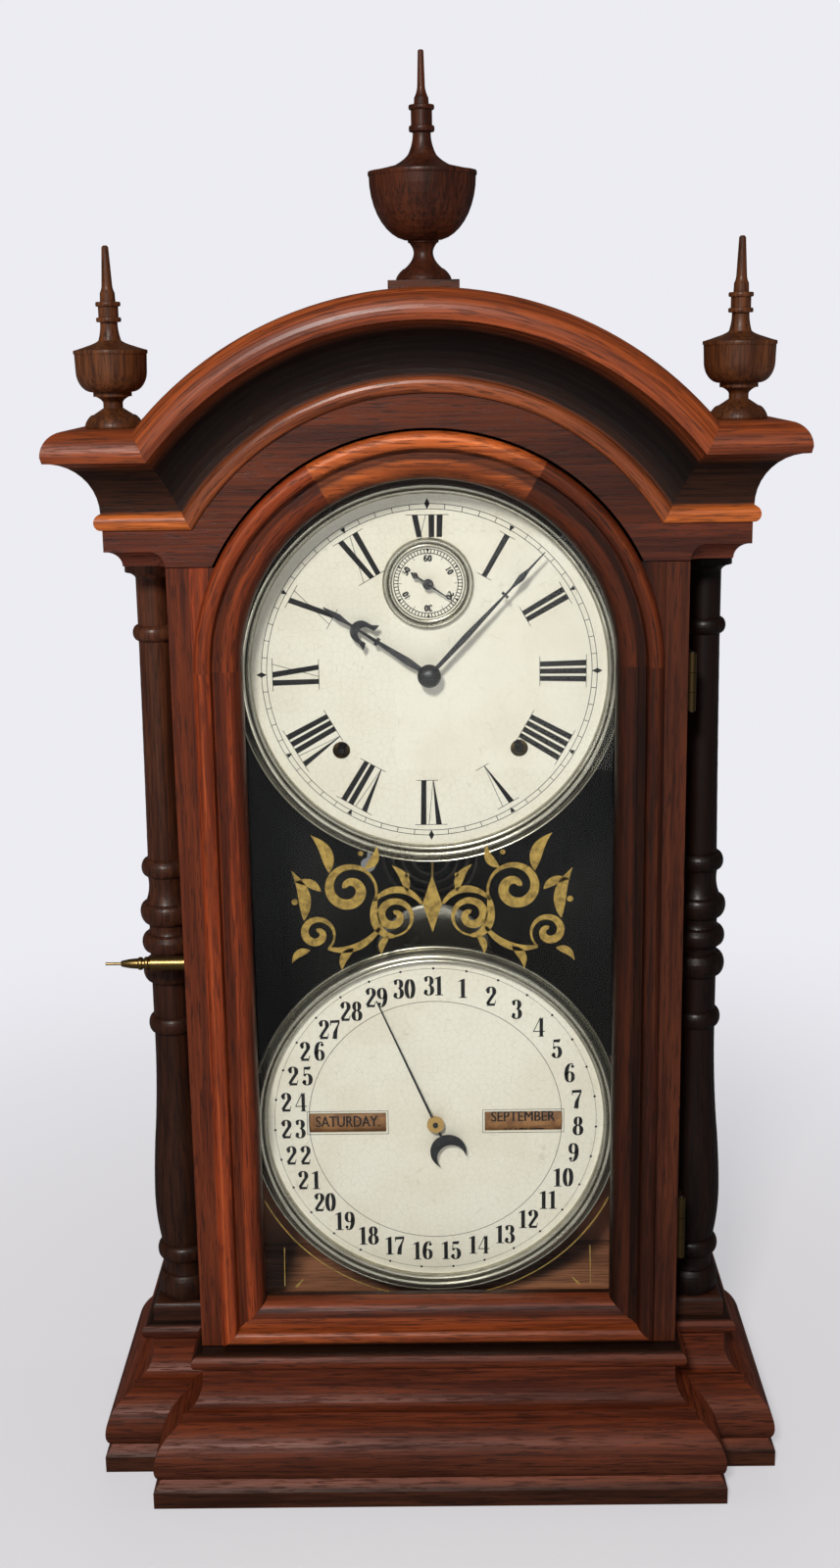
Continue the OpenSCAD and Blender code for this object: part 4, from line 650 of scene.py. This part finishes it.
def hour_figure(letters, angle, floor=0.0):
    """A radial hour figure: heavy and hairline strokes between two hairline serifs, cut off at a floor."""
    bar, gap, hair, flare = 3.2, 1.3, 0.34, 3.2
    widths = {"I": bar, "V": 7.4, "X": 7.8}
    total = sum(widths[c] for c in letters) + gap * (len(letters) - 1)
    strokes = []
    u = -total / 2
    for c in letters:
        w = widths[c]
        if c == "I":
            strokes.append(oblong(u, 0, u + bar, 1))
        elif c == "V":
            strokes.append([(u, 1), (u + bar, 1), (u + w * 0.62, 0), (u + w * 0.56, 0)])
            strokes.append([(u + w - hair, 1), (u + w, 1), (u + w * 0.62, 0), (u + w * 0.58, 0)])
        else:
            strokes.append([(u, 1), (u + bar, 1), (u + w, 0), (u + w - bar, 0)])
            strokes.append([(u + w - hair, 1), (u + w, 1), (u + hair, 0), (u, 0)])
        u += w + gap
    tall = FIGURE_OUT - FIGURE_IN
    edge = hair / tall
    half = total / 2 + flare
    strokes.append(oblong(-half, 1 - edge, half, 1))
    foot = -total / 2 + (0 if letters[0] != "V" else widths["V"] * 0.6)
    strokes.append(oblong(foot - flare, 0, half, edge))
    a = math.radians(angle)
    placed = []
    for stroke in strokes:
        shape = []
        for u, v in above(stroke, floor):
            r = FIGURE_IN + tall * v
            u *= 0.9 + 0.12 * v
            shape.append((r * math.sin(a) + u * math.cos(a), time_z + r * math.cos(a) - u * math.sin(a)))
        if shape:
            placed.append(shape)
    return placed


marks = []
ring_cut = (second_high.z / mm - time_z - FIGURE_IN) / (FIGURE_OUT - FIGURE_IN)
for hour, letters in enumerate(HOURS, 1):
    marks += hour_figure(letters, 30 * hour, ring_cut if hour == 12 else 0.0)
for r in (TRACK_IN, TRACK_OUT):
    marks += circle_line(0, time_z, r, TRACK_LINE)
time_print = flat_piece("time_dial_print", marks, print_y)

mark_ring = bpy.data.node_groups.new("ring of marks", "GeometryNodeTree")
socket = mark_ring.interface.new_socket
socket("Geometry", in_out="INPUT", socket_type="NodeSocketGeometry")
for label, kind in (
    ("Count", "Int"),
    ("Radius", "Float"),
    ("First", "Float"),
    ("Sides", "Int"),
    ("Turn", "Float"),
    ("Length", "Float"),
    ("Width", "Float"),
    ("Centre", "Vector"),
    ("Finish", "Material"),
):
    socket(label, in_out="INPUT", socket_type="NodeSocket" + kind)
socket("Geometry", in_out="OUTPUT", socket_type="NodeSocketGeometry")
tree = mark_ring
given = add(tree, "NodeGroupInput").outputs
keys = {"Vertices": given["Count"], "Radius": given["Radius"]}
ring = add(tree, "GeometryNodeMeshCircle", keys).outputs[0]
keys = {"Vertices": given["Sides"], "Radius": 0.5}
shape = add(tree, "GeometryNodeMeshCircle", keys, fill_type="NGON").outputs[0]
turned = add(tree, "ShaderNodeCombineXYZ", {2: given["Turn"]}).outputs[0]
size = add(tree, "ShaderNodeCombineXYZ", {0: given["Length"], 1: given["Width"], 2: 1.0}).outputs[0]
shape = add(tree, "GeometryNodeTransform", {"Geometry": shape, "Rotation": turned}).outputs[0]
shape = add(tree, "GeometryNodeTransform", {"Geometry": shape, "Scale": size}).outputs[0]
point = add(tree, "GeometryNodeInputPosition").outputs[0]
keys = {"Vector": point}
outward = add(tree, "FunctionNodeAlignRotationToVector", keys, axis="X", pivot_axis="Z").outputs[0]
keys = {"Points": ring, "Instance": shape, "Rotation": outward}
placed = add(tree, "GeometryNodeInstanceOnPoints", keys).outputs[0]
tilt = add(tree, "ShaderNodeCombineXYZ", {0: math.pi / 2, 1: given["First"]}).outputs[0]
keys = {"Geometry": placed, "Rotation": tilt, "Translation": given["Centre"]}
stood = add(tree, "GeometryNodeTransform", keys).outputs[0]
whole = add(tree, "GeometryNodeRealizeInstances", {"Geometry": stood}).outputs[0]
joined = add(tree, "GeometryNodeJoinGeometry")
tree.links.new(whole, joined.inputs[0])
tree.links.new(given["Geometry"], joined.inputs[0])
keys = {"Geometry": joined.outputs[0], "Material": given["Finish"]}
inked = add(tree, "GeometryNodeSetMaterial", keys).outputs[0]
add(tree, "NodeGroupOutput", {"Geometry": inked})


def ring_marks(piece, count, radius, sides, length, width, centre_z, first=0.0, turn=0.0):
    """Adds a ring of like marks to a piece: first is the clock angle of the first one, in degrees."""
    modifier = piece.modifiers.new("marks", "NODES")
    modifier.node_group = mark_ring
    values = {
        "Count": count,
        "Radius": radius * mm,
        "First": math.radians(first - 90),
        "Sides": sides,
        "Turn": math.radians(turn),
        "Length": length * mm,
        "Width": width * mm,
        "Centre": (0.0, print_y * mm, centre_z * mm),
        "Finish": ink,
    }
    for item in mark_ring.interface.items_tree:
        if item.in_out == "INPUT" and item.name in values:
            modifier[item.identifier] = values[item.name]


def track_strokes(piece, count, inner, outer, width, centre_z, first=0.0):
    """Adds a ring of upright strokes between two circles: squares on their corners, drawn out."""
    corner = math.sqrt(2)
    middle = (inner + outer) / 2
    ring_marks(piece, count, middle, 4, (outer - inner) * corner, width * corner, centre_z, first, 45)


def settle(piece, body, finish):
    """Turns a piece's modifiers into plain mesh and lets it ride on its body."""
    bpy.context.view_layer.update()
    plain = bpy.data.meshes.new_from_object(piece.evaluated_get(bpy.context.evaluated_depsgraph_get()))
    plain.name = piece.name
    piece.modifiers.clear()
    piece.data = plain
    plain.materials.clear()
    plain.materials.append(finish)
    for polygon in plain.polygons:
        polygon.material_index = 0
    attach(piece, body)


track_strokes(time_print, 60, TRACK_IN, TRACK_OUT, TRACK_STROKE, time_z)
ring_marks(time_print, 4, TRACK_OUT, 4, 6.0, 3.1, time_z)
for first in (30, 60):
    ring_marks(time_print, 4, TRACK_OUT - 1.6, 3, 4.4, 3.4, time_z, first=first, turn=180)
settle(time_print, "case", ink)

# The seconds dial inside its ring: a track of sixty strokes, triangles at the tens, hairlines at the
# fives, and small upright-heavy figures with their feet to the centre.
SECOND_IN, SECOND_OUT, SECOND_LINE, SECOND_STROKE = 16.7, 19.1, 0.46, 0.5
TENS_R, TENS_HEIGHT = 13.9, 3.5


def pen(line, thick, thin):
    """A stroke of an upright-heavy pen: thick where it runs up or down, hairline across."""
    halves = []
    for i in range(len(line)):
        a, b = line[max(i - 1, 0)], line[min(i + 1, len(line) - 1)]
        size = math.hypot(b[0] - a[0], b[1] - a[1]) or 1.0
        halves.append((thin + (thick - thin) * (abs(b[1] - a[1]) / size) ** 2.2) / 2)
    return band(line, halves)


def ball(cx, cz, r):
    """A round terminal."""
    return [ellipse(cx, cz, r, r, 0, 360, 14)[:-1]]


def figure(digit, thick, thin):
    """A bold figure one high: its width and its outlines."""
    if digit == "0":
        return 0.56, pen(ellipse(0.28, 0.5, 0.18, 0.47, 90, 450, 36), thick, thin)
    if digit == "1":
        stem = [(0.12, 0), (0.32, 0), (0.32, 1), (0.12, 0.94)]
        flag = [(0.0, 0.82), (0.12, 0.86), (0.12, 0.94), (0.0, 0.86)]
        return 0.44, [oblong(0.02, 0, 0.42, 0.045), stem, flag]
    if digit == "2":
        top = ellipse(0.27, 0.74, 0.17, 0.235, 175, -35, 24) + [(0.2, 0.3), (0.07, 0.09)]
        foot = [(0.04, 0.0), (0.46, 0.0), (0.48, 0.13), (0.1, 0.13)]
        tail = [(0.46, 0.0), (0.53, 0.28), (0.49, 0.28), (0.44, 0.1)]
        return 0.54, pen(top, thick, thin) + [foot, tail] + ball(0.13, 0.73, 0.085)
    if digit == "3":
        upper = pen(ellipse(0.24, 0.755, 0.16, 0.22, 160, -90, 24), thick, thin)
        lower = pen(ellipse(0.24, 0.275, 0.19, 0.255, 90, -160, 26), thick, thin)
        return 0.52, upper + lower + ball(0.11, 0.79, 0.08) + ball(0.1, 0.22, 0.09)
    if digit == "4":
        stem = [(0.33, 0), (0.51, 0), (0.51, 1), (0.33, 0.92)]
        slope = [(0.0, 0.28), (0.045, 0.28), (0.4, 1.0), (0.35, 1.0)]
        return 0.6, [oblong(0.28, 0, 0.56, 0.045), oblong(0.0, 0.25, 0.6, 0.3), stem, slope]
    if digit == "5":
        flag = [(0.1, 0.84), (0.4, 0.82), (0.46, 1.0), (0.1, 0.97)]
        stem = [(0.08, 0.5), (0.12, 0.5), (0.13, 0.97), (0.09, 0.97)]
        bowl = pen(ellipse(0.25, 0.31, 0.19, 0.29, 140, -160, 28), thick, thin)
        return 0.54, [flag, stem] + bowl + ball(0.11, 0.2, 0.09)
    if digit in "69":
        bowl = pen(ellipse(0.29, 0.29, 0.17, 0.265, 0, 360, 32), thick * 0.9, thin)
        back = pen(ellipse(0.36, 0.45, 0.25, 0.53, 70, 195, 24), thick, thin)
        shapes = bowl + back + ball(0.43, 0.84, 0.085)
        if digit == "9":
            shapes = [[(0.56 - x, 1 - z) for x, z in shape] for shape in shapes]
        return 0.56, shapes
    if digit == "7":
        top = [(0.03, 0.83), (0.5, 0.85), (0.52, 1.0), (0.03, 0.97)]
        serif = [(0.02, 0.7), (0.06, 0.7), (0.08, 0.98), (0.02, 0.98)]
        stem = band([(0.5, 0.9), (0.38, 0.62), (0.28, 0.34), (0.24, 0.0)], [0.03, 0.05, 0.1, 0.12])
        return 0.54, [top, serif] + stem
    upper = pen(ellipse(0.28, 0.755, 0.14, 0.22, 90, 450, 32), thick * 0.9, thin)
    return 0.56, upper + pen(ellipse(0.28, 0.275, 0.18, 0.255, 90, 450, 32), thick, thin)


def number(text, height, x, z, angle=0.0, squeeze=1.0, thick=0.21, thin=0.05, gap=0.04):
    """A number centred on a place, turned clockwise by an angle in degrees."""
    parts = [figure(c, thick, thin) for c in text]
    total = sum(w for w, _ in parts) + gap * (len(parts) - 1)
    c, s = math.cos(math.radians(angle)), math.sin(math.radians(angle))
    shapes, u = [], -total / 2
    for w, outlines in parts:
        for outline in outlines:
            at = [((u + a) * height * squeeze, (b - 0.5) * height) for a, b in outline]
            shapes.append([(x + a * c + b * s, z - a * s + b * c) for a, b in at])
        u += w + gap
    return shapes


marks = []
for r in (SECOND_IN, SECOND_OUT):
    marks += circle_line(0, second_z, r, SECOND_LINE, 90)
for tens in range(6):
    a = math.radians(60 * tens)
    x, z = TENS_R * math.sin(a), second_z + TENS_R * math.cos(a)
    marks += number(str(tens * 10 or 60), TENS_HEIGHT, x, z, 60 * tens, 1.1, 0.28, 0.15)
seconds_print = flat_piece("seconds_dial_print", marks, print_y)
track_strokes(seconds_print, 60, SECOND_IN, SECOND_OUT, SECOND_STROKE, second_z)
ring_marks(seconds_print, 6, SECOND_OUT - 0.9, 3, 2.5, 2.0, second_z, turn=180)
track_strokes(seconds_print, 6, 14.6, 16.6, 0.28, second_z, first=30)
settle(seconds_print, "case", ink)

# The calendar dial's print: the days 1 to 31 in bold upright figures between fine circles, a small dot
# at each day, and a ruled line round each window.
cal_z = (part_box("calendar_dial")[0].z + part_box("calendar_dial")[1].z) / 2 / mm
day_low, day_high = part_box("day_roller")
month_low, month_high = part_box("month_roller")
DAY_R, DAY_HEIGHT = 85.2, 12.0
INNER_R, DOT_R, DOT_SIZE = 75.5, 95.9, 1.5
WINDOW_W, WINDOW_H, WINDOW_MARGIN, RULE = 46.0, 12.4, 1.3, 0.3
marks = circle_line(0, cal_z, INNER_R, 0.3) + circle_line(0, cal_z, DOT_R, 0.2)
for day in range(1, 32):
    a = math.radians(360 * day / 31)
    x, z = DAY_R * math.sin(a), cal_z + DAY_R * math.cos(a)
    marks += number(str(day), DAY_HEIGHT, x, z, squeeze=0.95, gap=0.2 if 21 <= day <= 26 else 0.04)
window_z = (day_low.z + day_high.z) / 2 / mm
half_w, half_h = WINDOW_W / 2 + WINDOW_MARGIN, WINDOW_H / 2 + WINDOW_MARGIN
for low, high in ((day_low, day_high), (month_low, month_high)):
    x = (low.x + high.x) / 2 / mm
    for side in (-1, 1):
        edge_x, edge_z = x + side * half_w, window_z + side * half_h
        marks.append(oblong(edge_x, window_z - half_h, edge_x - side * RULE, window_z + half_h))
        marks.append(oblong(x - half_w, edge_z, x + half_w, edge_z - side * RULE))
calendar_print = flat_piece("calendar_dial_print", marks, print_y)
ring_marks(calendar_print, 31, DOT_R, 12, DOT_SIZE, DOT_SIZE, cal_z)
settle(calendar_print, "case", ink)

# The day and month rollers: wooden drums covered in brown printed paper, one name behind each window.
# The names are printed round the drum, one for each step.
WEEKDAYS = ("SATURDAY.", "SUNDAY.", "MONDAY.", "TUESDAY.", "WEDNESDAY.", "THURSDAY.", "FRIDAY.")
MONTHS = (
    "SEPTEMBER", "OCTOBER", "NOVEMBER", "DECEMBER", "JANUARY", "FEBRUARY",
    "MARCH", "APRIL", "MAY", "JUNE", "JULY", "AUGUST",
)
INK_LIFT, INK_SPREAD = 0.06, 0.16
roller_paper, tree, out = finish_tree("brown paper")
spot = own_place(tree)
mottle = noise(tree, spot, 120, 6, 0.7)
stripe = noise(tree, vectors(tree, "MULTIPLY", spot, (0.1, 1, 1)), 500, 3)
tan = blend(tree, spread(tree, mottle, 0.35, 0.65, 0, 1), tint(150, 106, 62), tint(112, 74, 40))
browned = blend(tree, spread(tree, stripe, 0.5, 0.75, 0, 0.5), tan, tint(78, 50, 28))
keys = {"Base Color": browned, "Roughness": spread(tree, mottle, 0.3, 0.7, 0.55, 0.75)}
surface(tree, out, add(tree, "ShaderNodeBsdfPrincipled", keys))
dress(roller_paper, "day_roller", "month_roller")


def letter_mesh(name):
    """The flat letters of a name."""
    text = bpy.data.curves.new(name, "FONT")
    text.body = name
    text.align_x, text.align_y = "CENTER", "CENTER"
    text.resolution_u = 3
    letters = bpy.data.objects.new(name, text)
    scene.collection.objects.link(letters)
    bpy.context.view_layer.update()
    flat = bpy.data.meshes.new_from_object(letters.evaluated_get(bpy.context.evaluated_depsgraph_get()))
    bpy.data.objects.remove(letters)
    return flat


def roller_names(piece_name, names, low, high, body, height, width, rise=0.0):
    """Names round a drum, the first one facing the front or a little above, wrapped from plain letters."""
    radius = (high.z - low.z) / 2
    rim = radius + INK_LIFT * mm
    axis_y, axis_z, x = (low.y + high.y) / 2, (low.z + high.z) / 2, (low.x + high.x) / 2
    bm = bmesh.new()
    for step, name in enumerate(names):
        flat = letter_mesh(name)
        part = bmesh.new()
        part.from_mesh(flat)
        xs, ys = [v.co.x for v in part.verts], [v.co.y for v in part.verts]
        wide = min(width * mm, len(name) * height * mm * 0.68)
        for v in part.verts:
            v.co.x = (v.co.x - (min(xs) + max(xs)) / 2) / (max(xs) - min(xs)) * wide
            v.co.y = (v.co.y - (min(ys) + max(ys)) / 2) / (max(ys) - min(ys)) * height * mm
        for cut in range(-3, 4):
            geom = part.verts[:] + part.edges[:] + part.faces[:]
            bmesh.ops.bisect_plane(part, geom=geom, plane_co=(0, cut * mm, 0), plane_no=(0, 1, 0))
        for v in part.verts:
            a = (v.co.y + rise * mm) / radius + 2 * math.pi * step / len(names)
            v.co = (x + v.co.x, axis_y - rim * math.cos(a), axis_z + rim * math.sin(a))
        for shift in (-INK_SPREAD, 0.0, INK_SPREAD):
            part.to_mesh(flat)
            flat.transform(Matrix.Translation((shift * mm, shift * -0.03 * mm, 0)))
            bm.from_mesh(flat)
        part.free()
    mesh = bpy.data.meshes.new(piece_name)
    bm.to_mesh(mesh)
    bm.free()
    mesh.materials.append(ink)
    piece = bpy.data.objects.new(piece_name, mesh)
    scene.collection.objects.link(piece)
    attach(piece, body)


roller_names("day_names", WEEKDAYS, day_low, day_high, "day", 7.0, 38)
roller_names("month_names", MONTHS, month_low, month_high, "month", 6.2, 41, 2.2)

# The hands: flat steel, blued nearly black, with a domed boss on the centre. The date hand has a brass
# hub and a dark crescent on its tail.
HUB_R, HUB_HOLE_R = 5.05, 1.6


def blued_steel(name, hub=False):
    """Blued steel, rubbed a little grey, with or without the brass hub of the date hand."""
    material, tree, out = finish_tree(name)
    rub = noise(tree, own_place(tree), 300, 4)
    colour = blend(tree, spread(tree, rub, 0.5, 0.8, 0, 1), tint(24, 24, 28), tint(60, 58, 58))
    keys = {"Base Color": colour, "Metallic": 0.35, "Roughness": spread(tree, rub, 0.3, 0.7, 0.3, 0.42)}
    if hub:
        off = vectors(tree, "SUBTRACT", own_place(tree), (0, 0, cal_z * mm))
        away = distance(tree, vectors(tree, "MULTIPLY", off, (1, 0, 1)))
        within = sums(tree, "LESS_THAN", away, HUB_R * mm)
        outside = sums(tree, "GREATER_THAN", away, HUB_HOLE_R * mm)
        on_hub = sums(tree, "MULTIPLY", within, outside)
        keys["Base Color"] = blend(tree, on_hub, colour, tint(184, 150, 92))
        keys["Metallic"] = sums(tree, "MAXIMUM", on_hub, 0.35)
    surface(tree, out, add(tree, "ShaderNodeBsdfPrincipled", keys))
    return material


dress(blued_steel("blued steel"), "hour_hand", "minute_hand", "seconds_hand", "centre_arbor")
dress(blued_steel("date hand steel and brass", hub=True), "date_hand")

# Gilding on the back of the pane: a pair of mirrored scrolls with leaves about a diamond, and in the
# lower corners a fine arc that follows the calendar's ring, an upright line and a short stroke.
gilt, tree, out = finish_tree("gold leaf")
crackle = noise(tree, own_place(tree), 260, 6, 0.7)
leaf = blend(tree, spread(tree, crackle, 0.35, 0.7, 0, 1), tint(172, 142, 70), tint(110, 88, 38))
keys = {"Base Color": leaf, "Metallic": 0.6, "Roughness": spread(tree, crackle, 0.3, 0.7, 0.3, 0.5)}
surface(tree, out, add(tree, "ShaderNodeBsdfPrincipled", keys))
gilt_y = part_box("door_glass")[1].y / mm + 0.06
SCROLL_Z = 354.0
DIAMOND_W, DIAMOND_H = 5.5, 17
CORNER_ARC_R, CORNER_ARC_RISE = 112.4, 9.2
LEAVES = (
    (58, 19, 24, 7, 66),
    (63, 8, 16, 5, 20),
    (38, 21, 15, 5, 118),
    (14, 7, 18, 5, 62),
    (45, -26, 15, 5, -62),
    (73, -9, 30, 7, 78),
    (25, -19, 12, 4, -70),
    (70, -27, 13, 4.5, -35),
)


def scroll(cx, cz, r, end, turns, wide):
    """A spiral that opens outwards to an angle and swells in the middle of its length."""
    n = int(40 * turns)
    line = []
    for i in range(n + 1):
        a, reach = math.radians(end - 360 * turns * (1 - i / n)), r * (0.16 + 0.84 * i / n)
        line.append((cx + reach * math.cos(a), cz + reach * math.sin(a)))
    swell = [math.sin(math.pi * min(1.0, 0.08 + i / n)) for i in range(n + 1)]
    return band(line, [wide * (0.25 + 0.75 * s) for s in swell])


def bend(a, b, c, d, wide):
    """A curved stem between two points, thickest in its middle."""
    line = []
    for i in range(17):
        t = i / 16
        k = ((1 - t) ** 3, 3 * t * (1 - t) ** 2, 3 * t * t * (1 - t), t**3)
        line.append(tuple(sum(w * p[axis] for w, p in zip(k, (a, b, c, d))) for axis in (0, 1)))
    return band(line, [wide * (0.4 + 0.6 * math.sin(math.pi * i / 16)) for i in range(17)])


def leaf_shape(x, z, length, wide, angle):
    """A pointed leaf from its foot, as a band that swells and narrows."""
    c, s = math.cos(math.radians(angle)), math.sin(math.radians(angle))
    line, halves = [], []
    for t in (i / 12 for i in range(13)):
        ahead, aside = length * t, wide * 0.5 * math.sin(math.pi * t)
        line.append((x + ahead * c - aside * s, z + ahead * s + aside * c))
        halves.append(max(0.15, wide / 2 * math.sin(math.pi * t**0.8)))
    return band(line, halves)


half = scroll(22, -7, 12, 270, 1.5, 2.4) + scroll(47, 9, 16, 200, 1.5, 3.0)
half += scroll(66, -17, 11, 235, 1.4, 2.3)
half += bend((22, -19), (32, -19), (35, -7), (32, 3.5), 2.7)
half += bend((30, -14), (38, -25), (48, -29), (59.7, -26), 2.2)
half += bend((6, 0), (12, 10), (24, 12), (33, 2), 2.0)
half += ball(78, 2, 1.8) + ball(40, 30, 1.5) + ball(14, 17, 1.3)
for x, z, length, wide, angle in LEAVES:
    half += leaf_shape(x, z, length, wide, angle)
low, high = SCROLL_Z - DIAMOND_H, SCROLL_Z + DIAMOND_H
marks = [[(0, low), (DIAMOND_W, SCROLL_Z), (0, high), (-DIAMOND_W, SCROLL_Z)]]
arc = ellipse(0, cal_z + CORNER_ARC_RISE, CORNER_ARC_R, CORNER_ARC_R, -75, -25.5, 40)
for side in (-1, 1):
    marks += [[(side * x, SCROLL_Z + z) for x, z in shape] for shape in half]
    marks += band([(side * x, z) for x, z in arc], 0.32)
    marks += band([(side * 90.7, cal_z - 70), (side * 91.2, cal_z - 95)], 0.28)
    marks += band([(side * 84.6, cal_z - 95.7), (side * 80.2, cal_z - 90.9)], [0.8, 0.3])
scrolls = flat_piece("gilt_scrolls", marks, gilt_y)
scrolls.data.materials.append(gilt)
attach(scrolls, "door")
